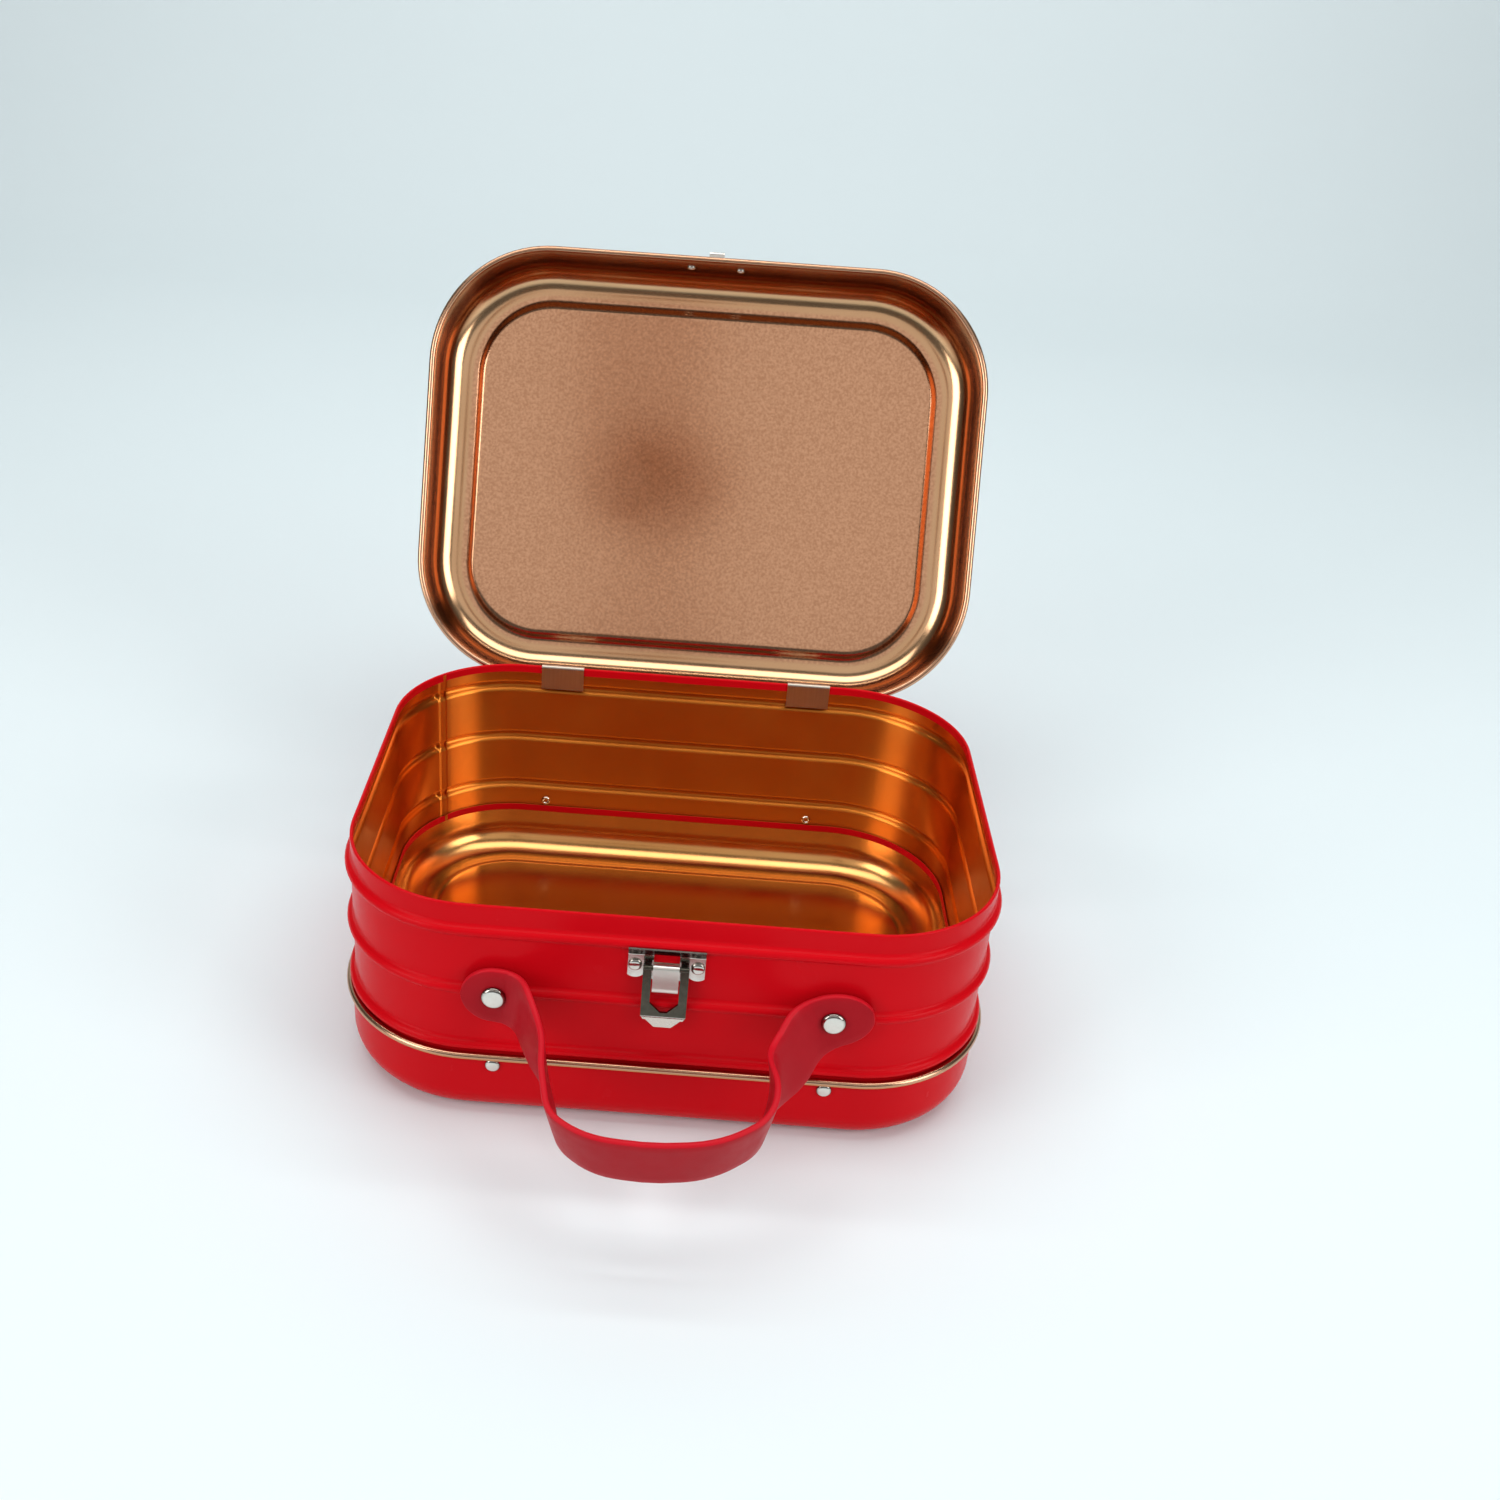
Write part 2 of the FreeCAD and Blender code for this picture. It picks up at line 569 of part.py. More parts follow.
def strap_solid(points, radii, side=1):
    """Upright strap whose middle line runs through points (x, reach from the wall)."""
    start, heading, moves = strap_path(points, radii)
    outline = strip_section(start, heading, moves, STRAP_THICKNESS)
    low = STRAP_HEIGHT - STRAP_WIDTH / 2
    face = section_face(outline, lambda x, reach: FreeCAD.Vector(side * x, STRAP_Y - reach, low))
    return face.extrude(FreeCAD.Vector(0, 0, STRAP_WIDTH))


def handle_strap():
    """Bow of the strap, drooping from the line through its two rivets."""
    bow = strap_solid(STRAP_BOW_LINE, STRAP_BOW_RADII)
    bow.rotate(FreeCAD.Vector(0, STRAP_Y, STRAP_HEIGHT), X_AXIS, STRAP_DROOP)
    return bow


def handle_strap_end(side):
    """Flat riveted end of the strap and the start of its bend away from the wall."""
    rivet_x = STRAP_RIVET_SPACING / 2
    points = [(rivet_x, 0.0), (STRAP_FLAT_END, 0.0), STRAP_ROOT_END]
    tab = strap_solid(points, [STRAP_ROOT_RADIUS], side)
    low_y = STRAP_Y - STRAP_THICKNESS / 2
    end = rod(side * rivet_x, low_y, STRAP_HEIGHT, STRAP_WIDTH / 2, STRAP_THICKNESS, Y_AXIS)
    hole = rivet_hole(HANDLE_RIVET, side * rivet_x, STRAP_HEIGHT)
    return tab.fuse(end).cut(hole).removeSplitter()


def handle_rivet_washer(side):
    """Washer behind the front wall that spreads the handle rivet's pull."""
    x = side * STRAP_RIVET_SPACING / 2
    disc = rod(x, FRONT + SHEET + CONTACT_GAP, STRAP_HEIGHT, WASHER_RADIUS, WASHER_THICKNESS, Y_AXIS)
    return disc.cut(rivet_hole(HANDLE_RIVET, x, STRAP_HEIGHT))


# ---- assembly ----
def build_nodes():
    nodes = {
        "side_wall": side_wall(),
        "bottom_pan": bottom_pan(),
        "lid_shell": lid_shell(),
        "latch_base_plate": latch_base_plate(),
        "latch_spring_tongue": latch_spring_tongue(),
        "latch_hasp": latch_hasp(),
        "lid_catch": lid_catch(),
        "handle_strap": handle_strap(),
    }
    for name, x in HINGE_CENTRES.items():
        nodes["hinge_body_leaf_" + name] = hinge_body_leaf(x)
        nodes["hinge_lid_leaf_" + name] = hinge_lid_leaf(x)
        nodes["hinge_pin_" + name] = hinge_pin(x)
    plate_face = FRONT - CONTACT_GAP - LATCH_PLATE_SHEET
    plate_grip = FRONT + SHEET - plate_face
    catch_face = FRONT - SKIRT_OUTSIDE - LATCH_PLATE_SHEET
    strap_face = STRAP_Y - STRAP_THICKNESS / 2
    strap_grip = FRONT + SHEET + CONTACT_GAP + WASHER_THICKNESS - strap_face
    for name, side in (("left", -1), ("right", 1)):
        x = side * LATCH_RIVET_SPACING / 2
        nodes["latch_rivet_" + name] = rivet(LATCH_RIVET, x, plate_face, LATCH_RIVET_HEIGHT, -1, plate_grip)
        catch_rivet = rivet(CATCH_RIVET, x, catch_face, CATCH_RIVET_HEIGHT, -1, SHEET + LATCH_PLATE_SHEET)
        nodes["catch_rivet_" + name] = open_lid(catch_rivet)
        nodes["handle_strap_end_" + name] = handle_strap_end(side)
        nodes["handle_rivet_washer_" + name] = handle_rivet_washer(side)
        x = side * STRAP_RIVET_SPACING / 2
        nodes["handle_rivet_" + name] = rivet(HANDLE_RIVET, x, strap_face, STRAP_HEIGHT, -1, strap_grip)
        x = side * PAN_RIVET_SPACING / 2
        for place, out in (("front", -1), ("rear", 1)):
            y = out * (REAR + SKIRT_OUTSIDE)
            pan_rivet = rivet(PAN_RIVET, x, y, PAN_RIVET_HEIGHT, out, SKIRT_OUTSIDE + SHEET)
            nodes["pan_rivet_" + place + "_" + name] = pan_rivet
    return nodes


def main():
    os.makedirs("parts", exist_ok=True)
    for name, shape in build_nodes().items():
        solid = shape.Solids[0] if len(shape.Solids) == 1 else shape
        bounds = solid.BoundBox
        print(
            f"{name}: solids {len(shape.Solids)} valid {shape.isValid()} volume {shape.Volume:.1f} mm3, "
            f"x {bounds.XMin:.1f}..{bounds.XMax:.1f} y {bounds.YMin:.1f}..{bounds.YMax:.1f} "
            f"z {bounds.ZMin:.1f}..{bounds.ZMax:.1f}"
        )
        solid.exportStep("parts/" + name + ".step")


main()
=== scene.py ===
import json
import math

import bmesh
import bpy
from mathutils import Matrix, Vector, noise


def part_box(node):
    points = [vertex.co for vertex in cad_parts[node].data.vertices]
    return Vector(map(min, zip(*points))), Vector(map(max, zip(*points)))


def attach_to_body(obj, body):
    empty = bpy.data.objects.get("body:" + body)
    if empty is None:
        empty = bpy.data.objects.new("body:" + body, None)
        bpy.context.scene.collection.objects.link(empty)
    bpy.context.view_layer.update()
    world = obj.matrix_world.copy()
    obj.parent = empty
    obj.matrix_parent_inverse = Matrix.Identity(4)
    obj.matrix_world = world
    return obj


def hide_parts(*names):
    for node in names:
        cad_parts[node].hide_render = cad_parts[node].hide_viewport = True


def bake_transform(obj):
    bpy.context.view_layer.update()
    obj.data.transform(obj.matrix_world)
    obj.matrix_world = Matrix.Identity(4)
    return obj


# Metal lunch box: red lacquered tinplate outside, gold lacquered inside, nickel hardware and a
# flexible strap handle. Metres, +Z up, +Y to the rear. Each sheet is two skins, one per finish.

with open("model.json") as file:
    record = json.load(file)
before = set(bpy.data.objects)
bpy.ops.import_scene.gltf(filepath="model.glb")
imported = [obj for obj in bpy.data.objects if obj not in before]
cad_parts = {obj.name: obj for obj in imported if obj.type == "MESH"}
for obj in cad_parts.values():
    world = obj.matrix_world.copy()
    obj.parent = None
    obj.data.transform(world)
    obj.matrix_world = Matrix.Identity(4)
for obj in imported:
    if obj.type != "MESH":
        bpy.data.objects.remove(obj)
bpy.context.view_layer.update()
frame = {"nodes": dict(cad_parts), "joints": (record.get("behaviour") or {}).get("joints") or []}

MM = 0.001

# ---- sizes, matching the CAD nodes ----
CORNER_RADIUS = 41.0 * MM
SHEET = 0.4 * MM
BEAD_HEIGHTS = (28.4 * MM, 49.5 * MM, 70.6 * MM)
BEAD_HALF_WIDTH = 2.7 * MM
BEAD_PROUD = 1.8 * MM
HEM_BEND_RADIUS = 0.35 * MM
HEM_LENGTH = 2.3 * MM
PAN_CLEARANCE = 0.6 * MM
PAN_DEPTH = 24.8 * MM
PAN_EDGE_RADIUS = 10.4 * MM
FOOT_RING_INSET = 11.1 * MM
PANEL_RISE = 0.8 * MM
PANEL_SLOPE_WIDTH = 4.6 * MM
PANEL_LAP = 2.0 * MM
CURL_RADIUS = 0.95 * MM
CURL_TURN = 270.0
NOTCH_SIDE_GAP = 1.1 * MM
NOTCH_ABOVE_RIM = 7.45 * MM
STRAP_WIDTH = 19.5 * MM
STRAP_THICKNESS = 2.0 * MM
STRAP_DROOP = math.radians(16.0)

# ---- heights below which the hasp and the latch plate lose their painted dark reflection ----
HASP_LIP_TOP = 46.6 * MM
LATCH_FLANGE_BOTTOM = 67.2 * MM

# ---- places read from the frame ----
wall_low, wall_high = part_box("side_wall")
HALF_X = wall_high.x - BEAD_PROUD
HALF_Y = wall_high.y - BEAD_PROUD
RIM_HEIGHT = wall_high.z
WALL_BOTTOM = wall_low.z
CORNER_X = HALF_X - CORNER_RADIUS
CORNER_Y = HALF_Y - CORNER_RADIUS
JOINTS = {joint["name"]: joint for joint in frame["joints"]}
HANDLE_AXIS_Y, HANDLE_AXIS_Z = JOINTS["handle_swing"]["pos_m"][1:]
LID_AXIS = Vector(JOINTS["lid_hinge"]["pos_m"])
LID_OPEN_ANGLE = math.radians(JOINTS["lid_hinge"]["range_deg"][1])
TO_OPEN = (
    Matrix.Translation(LID_AXIS)
    @ Matrix.Rotation(-LID_OPEN_ANGLE, 4, "X")
    @ Matrix.Translation(-LID_AXIS)
)
TO_CLOSED = TO_OPEN.inverted()


# ---- colours, linear ----
RED_DEEP = (0.57, 0.0022, 0.0065, 1)
RED_BRIGHT = (0.65, 0.0034, 0.0090, 1)
# Lighter red painted on outward edges and bead crests as a highlight.
RED_PAINTED_HIGHLIGHT = (0.85, 0.030, 0.040, 1)
STRAP_DEEP = (0.350, 0.0028, 0.0085, 1)
STRAP_BRIGHT = (0.410, 0.0040, 0.0115, 1)
# Lighter red of the strap's edge paint, also a painted highlight on the edges.
STRAP_EDGE_PAINT_AND_HIGHLIGHT = (0.56, 0.008, 0.018, 1)
WALL_GOLD_BRIGHT = (0.76, 0.255, 0.038, 1)
WALL_GOLD_DEEP = (0.57, 0.155, 0.018, 1)
PAN_GOLD_BRIGHT = (0.74, 0.38, 0.14, 1)
PAN_GOLD_DEEP = (0.62, 0.28, 0.08, 1)
LID_GOLD_BRIGHT = (0.76, 0.46, 0.260, 1)
LID_GOLD_DEEP = (0.62, 0.35, 0.175, 1)
CURL_TAN = (0.56, 0.315, 0.195, 1)
MATTE_COPPER = (0.73, 0.385, 0.222, 1)
# Deep brown used as painted shade on the lid's skirt and as the colour of the panel's flecks.
SKIRT_SHADE_AND_FLECK_BROWN = (0.25, 0.075, 0.020, 1)
NICKEL_BRIGHT = (0.80, 0.77, 0.71, 1)
NICKEL_SHADE = (0.70, 0.66, 0.60, 1)
NICKEL_WHITE = (0.88, 0.83, 0.76, 1)
# Lighter nickel painted on the hasp's lip as a highlight.
LIP_NICKEL_PAINTED_HIGHLIGHT = (0.90, 0.85, 0.78, 1)
# Dark colour painted on the rivet heads' shoulders as shade.
RIVET_RIM_PAINTED_SHADE = (0.16, 0.13, 0.11, 1)
STEEL_BRIGHT = (0.64, 0.57, 0.48, 1)
STEEL_SHADE = (0.52, 0.45, 0.37, 1)
# Dark tones painted on the hasp and on the latch plate's flange as their dark reflection.
HASP_PAINTED_DARK_REFLECTION = (0.125, 0.118, 0.092, 1)
HASP_PAINTED_DARKEST_REFLECTION = (0.060, 0.055, 0.042, 1)
FLANGE_PAINTED_DARK_REFLECTION = (0.10, 0.085, 0.075, 1)
FLANGE_PAINTED_DARKEST_REFLECTION = (0.04, 0.034, 0.030, 1)
FLOOR_COOL = (0.790, 0.880, 0.900, 1)
FLOOR_PALE = (0.815, 0.897, 0.915, 1)
CAMERA_BROWN = (0.34, 0.125, 0.030, 1)
ROOM_WHITE = (0.86, 0.92, 0.95, 1)


# ---- materials ----
EDGE_POINTINESS = (0.55, 0.64)
# How strongly the painted edge highlight lightens the red.
RED_HIGHLIGHT_SHARE = 0.35
PANEL_FLECK_SHARE = 0.32
PANEL_ROUGHNESS_CHANGE = -0.03
WALL_ROLLING = 0.9
HINGE_GRAIN_STRETCH = (3, 3, 0.08)


class Surface:
    """A material's node tree, with short calls for the nodes used here."""

    def __init__(self, name, **sockets):
        self.material = bpy.data.materials.new(name)
        self.material.use_nodes = True
        self.nodes = self.material.node_tree.nodes
        self.links = self.material.node_tree.links
        self.shader = self.nodes["Principled BSDF"]
        self.coordinates = self.nodes.new("ShaderNodeTexCoord").outputs["Object"]
        for socket, value in sockets.items():
            self.shader.inputs[socket.replace("_", " ")].default_value = value

    def join(self, value, socket):
        """Links a socket to another, or sets it to a constant."""
        if isinstance(value, bpy.types.NodeSocket):
            self.links.new(value, socket)
        else:
            socket.default_value = value

    def attribute(self, name):
        node = self.nodes.new("ShaderNodeAttribute")
        node.attribute_name = name
        return node.outputs["Fac"]

    def math(self, operation, first, second):
        node = self.nodes.new("ShaderNodeMath")
        node.operation = operation
        self.join(first, node.inputs[0])
        self.join(second, node.inputs[1])
        return node.outputs[0]

    def grain(self, scale, detail=2.0, stretch=(1, 1, 1)):
        """Noise in the object's own metres, about scale features per metre."""
        mapping = self.nodes.new("ShaderNodeMapping")
        mapping.inputs["Scale"].default_value = [scale * s for s in stretch]
        self.links.new(self.coordinates, mapping.inputs["Vector"])
        node = self.nodes.new("ShaderNodeTexNoise")
        node.inputs["Scale"].default_value = 1.0
        node.inputs["Detail"].default_value = detail
        self.links.new(mapping.outputs[0], node.inputs["Vector"])
        return node.outputs["Fac"]

    def remap(self, value, low, high, from_low=0.3, from_high=0.7):
        """Spreads a value over low to high; noise stays mostly between 0.3 and 0.7."""
        node = self.nodes.new("ShaderNodeMapRange")
        self.links.new(value, node.inputs["Value"])
        node.inputs["From Min"].default_value = from_low
        node.inputs["From Max"].default_value = from_high
        self.join(low, node.inputs["To Min"])
        self.join(high, node.inputs["To Max"])
        return node.outputs[0]

    def blend(self, share, first, second):
        node = self.nodes.new("ShaderNodeMix")
        node.data_type = "RGBA"
        self.join(share, node.inputs["Factor"])
        self.join(first, node.inputs["A"])
        self.join(second, node.inputs["B"])
        return node.outputs["Result"]

    def height_share(self, low, high):
        """Share that grows from 0 to 1 between two heights in the object's own frame."""
        split = self.nodes.new("ShaderNodeSeparateXYZ")
        self.links.new(self.coordinates, split.inputs[0])
        return self.remap(split.outputs["Z"], 0.0, 1.0, low, high)

    def edges(self):
        """Share that is 1 on outward edges and 0 on flat stretches."""
        geometry = self.nodes.new("ShaderNodeNewGeometry")
        return self.remap(geometry.outputs["Pointiness"], 0.0, 1.0, *EDGE_POINTINESS)

    def bump(self, height, depth, strength, under=None):
        node = self.nodes.new("ShaderNodeBump")
        node.inputs["Strength"].default_value = strength
        node.inputs["Distance"].default_value = depth
        self.links.new(height, node.inputs["Height"])
        if under is not None:
            self.links.new(under, node.inputs["Normal"])
        return node.outputs["Normal"]

    def finish(self, color, roughness=None, normal=None):
        for socket, value in (("Base Color", color), ("Roughness", roughness), ("Normal", normal)):
            if value is not None:
                self.join(value, self.shader.inputs[socket])
        return self.material


def red_lacquer():
    s = Surface("red_lacquer", Specular_IOR_Level=0.055)
    tone = s.blend(s.grain(14), RED_DEEP, RED_BRIGHT)
    # Painted highlight: outward edges and bead crests are mixed towards a lighter red.
    color = s.blend(s.math("MULTIPLY", s.edges(), RED_HIGHLIGHT_SHARE), tone, RED_PAINTED_HIGHLIGHT)
    smudges = s.remap(s.grain(55, 5), 0.20, 0.28)
    orange_peel = s.bump(s.grain(900, 1), 0.02 * MM, 0.20)
    slow_waves = s.bump(s.grain(9, 1), 1.0 * MM, 0.30, orange_peel)
    return s.finish(color, smudges, slow_waves)


def gold_lacquer(name, bright, deep, roughness_range, panel_matte=0.0, rolled=0.0):
    """Gold lacquer over tinplate. Its flat panel can be matte, and then its skirt is darkened as
    painted shade; rolled sheet spreads light upright.
    """
    s = Surface(name, Metallic=1.0, Anisotropic=rolled, Anisotropic_Rotation=0.25)
    if rolled:
        tangent = s.nodes.new("ShaderNodeTangent")
        tangent.direction_type = "RADIAL"
        tangent.axis = "Z"
        s.links.new(tangent.outputs[0], s.shader.inputs["Tangent"])
    tone = s.blend(s.grain(22, 3), bright, deep)
    if panel_matte:
        # Painted shade: the lid's skirt is darkened to deep brown in place of bright reflections of
        # the lamps.
        tone = s.blend(s.attribute("skirt"), tone, SKIRT_SHADE_AND_FLECK_BROWN)
    panel = s.math("MULTIPLY", s.attribute("panel"), panel_matte)
    tone = s.blend(panel, tone, MATTE_COPPER)
    tone = s.blend(s.attribute("curl"), tone, CURL_TAN)
    flecks = s.remap(s.grain(1000, 2), 0.0, 1.0, 0.35, 0.65)
    fleck_share = s.math("MULTIPLY", flecks, s.math("MULTIPLY", panel, PANEL_FLECK_SHARE))
    color = s.blend(fleck_share, tone, SKIRT_SHADE_AND_FLECK_BROWN)
    smudges = s.remap(s.grain(70, 4), *roughness_range)
    roughness = s.math("ADD", smudges, s.math("MULTIPLY", panel, PANEL_ROUGHNESS_CHANGE))
    dents = s.bump(s.grain(30, 0), 0.10 * MM, 0.06)
    return s.finish(color, roughness, dents)


def plated(name, bright, shade, roughness_range, stretch=(1, 1, 1), below=None, split=0.0):
    """Plated steel with rolling lines and smudges, darkened with painted shade by the vertex value
    named rim.

    Below the height split it can have another tone. The hasp and the latch plate use it to keep
    painted dark reflection above the split, with a painted highlight on the hasp's lip and plain
    nickel on the plate below.
    """
    s = Surface(name, Metallic=1.0)
    color = s.blend(s.grain(700, 3, stretch), bright, shade)
    # Painted shade: the vertex value rim, set on the rivet heads' shoulders, darkens them.
    color = s.blend(s.attribute("rim"), color, RIVET_RIM_PAINTED_SHADE)
    if below is not None:
        # Painted light on the hasp and latch plate: dark tones above split are painted dark
        # reflection; the hasp's lighter lip below is a painted highlight.
        color = s.blend(s.height_share(split - 0.1 * MM, split + 0.2 * MM), below, color)
    smudges = s.remap(s.grain(260, 3), *roughness_range)
    rolling_lines = s.bump(s.grain(1, 2, (2600, 2600, 90)), 0.02 * MM, 0.12)
    return s.finish(color, smudges, rolling_lines)


def strap_red():
    s = Surface("strap_pu", Specular_IOR_Level=0.11)
    tone = s.blend(s.grain(120, 4), STRAP_DEEP, STRAP_BRIGHT)
    # Edge paint and painted highlight: rounded edges and face borders turn a lighter red.
    color = s.blend(s.attribute("edge"), tone, STRAP_EDGE_PAINT_AND_HIGHLIGHT)
    pores = s.bump(s.grain(2100, 3), 0.06 * MM, 0.30)
    creases = s.bump(s.grain(1, 3, (420, 420, 60)), 0.12 * MM, 0.22, pores)
    return s.finish(color, s.remap(s.grain(180, 3), 0.33, 0.47), creases)


def floor_white():
    s = Surface("floor_white", Specular_IOR_Level=0.3)
    color = s.blend(s.grain(3, 2), FLOOR_COOL, FLOOR_PALE)
    return s.finish(color, s.remap(s.grain(12, 3), 0.42, 0.52))


RED = red_lacquer()
WALL_GOLD = gold_lacquer(
    "gold_lacquer_wall", WALL_GOLD_BRIGHT, WALL_GOLD_DEEP, (0.30, 0.35), rolled=WALL_ROLLING
)
PAN_GOLD = gold_lacquer("gold_lacquer_pan", PAN_GOLD_BRIGHT, PAN_GOLD_DEEP, (0.18, 0.24))
LID_GOLD = gold_lacquer(
    "gold_lacquer_lid", LID_GOLD_BRIGHT, LID_GOLD_DEEP, (0.16, 0.19), panel_matte=1.0
)
NICKEL = plated("nickel_plate", NICKEL_BRIGHT, NICKEL_SHADE, (0.10, 0.17))
SATIN_NICKEL = plated("nickel_satin", NICKEL_WHITE, NICKEL_BRIGHT, (0.30, 0.38))
HINGE_STEEL = plated("hinge_steel", STEEL_BRIGHT, STEEL_SHADE, (0.30, 0.34), HINGE_GRAIN_STRETCH)
# Hasp: painted dark reflection above its lip, painted highlight on the lip.
HASP_NICKEL_PAINTED_DARK = plated(
    "nickel_painted_dark_reflection", HASP_PAINTED_DARK_REFLECTION, HASP_PAINTED_DARKEST_REFLECTION, (0.20, 0.30), below=LIP_NICKEL_PAINTED_HIGHLIGHT, split=HASP_LIP_TOP
)
# Latch plate: painted dark reflection on its flange, plain nickel below.
PLATE_NICKEL_PAINTED_DARK_FLANGE = plated(
    "nickel_plate_latch_painted_dark_flange", FLANGE_PAINTED_DARK_REFLECTION, FLANGE_PAINTED_DARKEST_REFLECTION, (0.14, 0.24),
    below=NICKEL_BRIGHT, split=LATCH_FLANGE_BOTTOM,
)
STRAP_RED = strap_red()


# ---- meshes ----
SHARP_ANGLE = math.radians(38.0)
SAME_PLACE = 1e-7


def make_object(name, vertices, faces, material, floats=None):
    """Mesh object with shared normals and named float values per vertex."""
    mesh = bpy.data.meshes.new(name)
    mesh.from_pydata(vertices, [], faces)
    for attribute, values in (floats or {}).items():
        layer = mesh.attributes.new(attribute, "FLOAT", "POINT")
        layer.data.foreach_set("value", values)
    mesh.materials.append(material)
    obj = bpy.data.objects.new(name, mesh)
    bpy.context.scene.collection.objects.link(obj)
    tidy_mesh(obj)
    return obj


def tidy_mesh(obj):
    """Merges doubled vertices, turns the normals outward and smooths all but sharp edges."""
    work = bmesh.new()
    work.from_mesh(obj.data)
    bmesh.ops.remove_doubles(work, verts=work.verts, dist=SAME_PLACE)
    bmesh.ops.recalc_face_normals(work, faces=work.faces)
    work.to_mesh(obj.data)
    work.free()
    obj.data.shade_smooth()
    obj.data.set_sharp_from_angle(angle=SHARP_ANGLE)


def attach(obj, body, slot, *nodes):
    """Puts a piece on a body, in place of the given CAD nodes."""
    if nodes:
        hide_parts(*nodes)
    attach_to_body(obj, body)


def bridge(faces, first, second, count):
    """Adds the faces between two closed rows of vertices that start at first and second."""
    for i in range(count):
        k = (i + 1) % count
        faces.append((first + i, first + k, second + k, second + i))


def heading_vector(degrees):
    return math.cos(math.radians(degrees)), math.sin(math.radians(degrees))


def trace(start, heading, moves, line_steps=1, arc_step=9.0):
    """Points (u, v, nu, nv) of a path of lines and arcs, with the unit normal on its left."""
    u, v = start
    points = []
    for move in moves:
        if move[0] == "line":
            along, left = heading_vector(heading), heading_vector(heading + 90)
            for k in range(line_steps + 1):
                part = move[1] * k / line_steps
                points.append((u + part * along[0], v + part * along[1], *left))
            u, v = points[-1][:2]
        else:
            radius, turn = move[1], move[2]
            way = 1 if turn > 0 else -1
            left = heading_vector(heading + 90)
            centre = (u + way * radius * left[0], v + way * radius * left[1])
            steps = max(2, math.ceil(abs(turn) / arc_step))
            for k in range(steps + 1):
                spoke = heading_vector(heading - way * 90 + turn * k / steps)
                normal = (-way * spoke[0], -way * spoke[1])
                points.append((centre[0] + radius * spoke[0], centre[1] + radius * spoke[1], *normal))
            u, v = points[-1][:2]
            heading += turn
    kept = [points[0]]
    for point in points[1:]:
        if math.dist(point[:2], kept[-1][:2]) > SAME_PLACE:
            kept.append(point)
    return kept


CORNER_STEPS = 22
LONG_SIDE_STEPS = 22
SHORT_SIDE_STEPS = 12
PANEL_RINGS = 14


def perimeter(extra=()):
    """Stations round the body: (centre x, centre y, outward x, outward y), counter-clockwise.

    extra holds more angles, in degrees, at which the corners get a station.
    """
    corners = ((1, 1), (-1, 1), (-1, -1), (1, -1))
    centres = [(CORNER_X * x_way, CORNER_Y * y_way) for x_way, y_way in corners]
    stations = []
    for quarter, (x, y) in enumerate(centres):
        angles = [90 * quarter + 90 * k / CORNER_STEPS for k in range(CORNER_STEPS + 1)]
        angles = sorted(angles + [a for a in extra if 90 * quarter < a < 90 * quarter + 90])
        stations += [(x, y, *heading_vector(a)) for a in angles]
        next_x, next_y = centres[(quarter + 1) % 4]
        steps = LONG_SIDE_STEPS if quarter % 2 == 0 else SHORT_SIDE_STEPS
        outward = heading_vector(90 * quarter + 90)
        for k in range(1, steps):
            part = k / steps
            stations.append((x + (next_x - x) * part, y + (next_y - y) * part, *outward))
    return stations


def ring_point(station, u, v):
    """Point u outside the wall's middle line and v up, at one station."""
    x, y, dx, dy = station
    reach = CORNER_RADIUS + u
    return Vector((x + reach * dx, y + reach * dy, v))


def smoothstep(value, low, high):
    """Grows smoothly from 0 at low to 1 at high."""
    t = min(1.0, max(0.0, (value - low) / (high - low)))
    return t * t * (3 - 2 * t)


def skin(name, path, side, material, stations, shape=None, with_panel=False):
    """Closed skin, half a sheet thick, on one side of a path that is carried round the body.

    side +1 is left of the path. shape moves a point of the skin, given the point and its station.
    with_panel closes the middle of a pan.
    """
    face_line = [(u + side * SHEET / 2 * nu, v + side * SHEET / 2 * nv) for u, v, nu, nv in path]
    outline = face_line + [(u, v) for u, v, _, _ in reversed(path)]
    count = len(stations)
    vertices = []
    for u, v in outline:
        for station in stations:
            point = ring_point(station, u, v)
            vertices.append(shape(point, station) if shape else point)
    faces = []
    rows = len(outline)
    last_row = rows - 1 if with_panel else rows
    for j in range(last_row):
        bridge(faces, j * count, (j + 1) % rows * count, count)
    values = {}
    if with_panel:
        values = pan_values(outline, count)
        for row in (0, rows - 1):
            add_panel(vertices, faces, row * count, count, values)
    return make_object(name, vertices, faces, material, values)


MATTE_START = 9.2 * MM
SKIRT_TOP = 0.5 * MM
SKIRT_BOTTOM = 4.5 * MM
CURL_TONE_START = PAN_DEPTH - 0.2 * MM
PANEL_VALUES = {"panel": 1.0, "skirt": 0.0, "curl": 0.0}


def pan_values(outline, count):
    """Vertex values of a pan's rim and ring: how far each point is panel, skirt with painted shade,
    or curl.
    """
    values = {key: [] for key in PANEL_VALUES}
    for u, v in outline:
        values["panel"] += [smoothstep(-u, MATTE_START, FOOT_RING_INSET)] * count
        values["skirt"] += [1 - smoothstep(-u, SKIRT_TOP, SKIRT_BOTTOM)] * count
        values["curl"] += [float(v > CURL_TONE_START)] * count
    return values


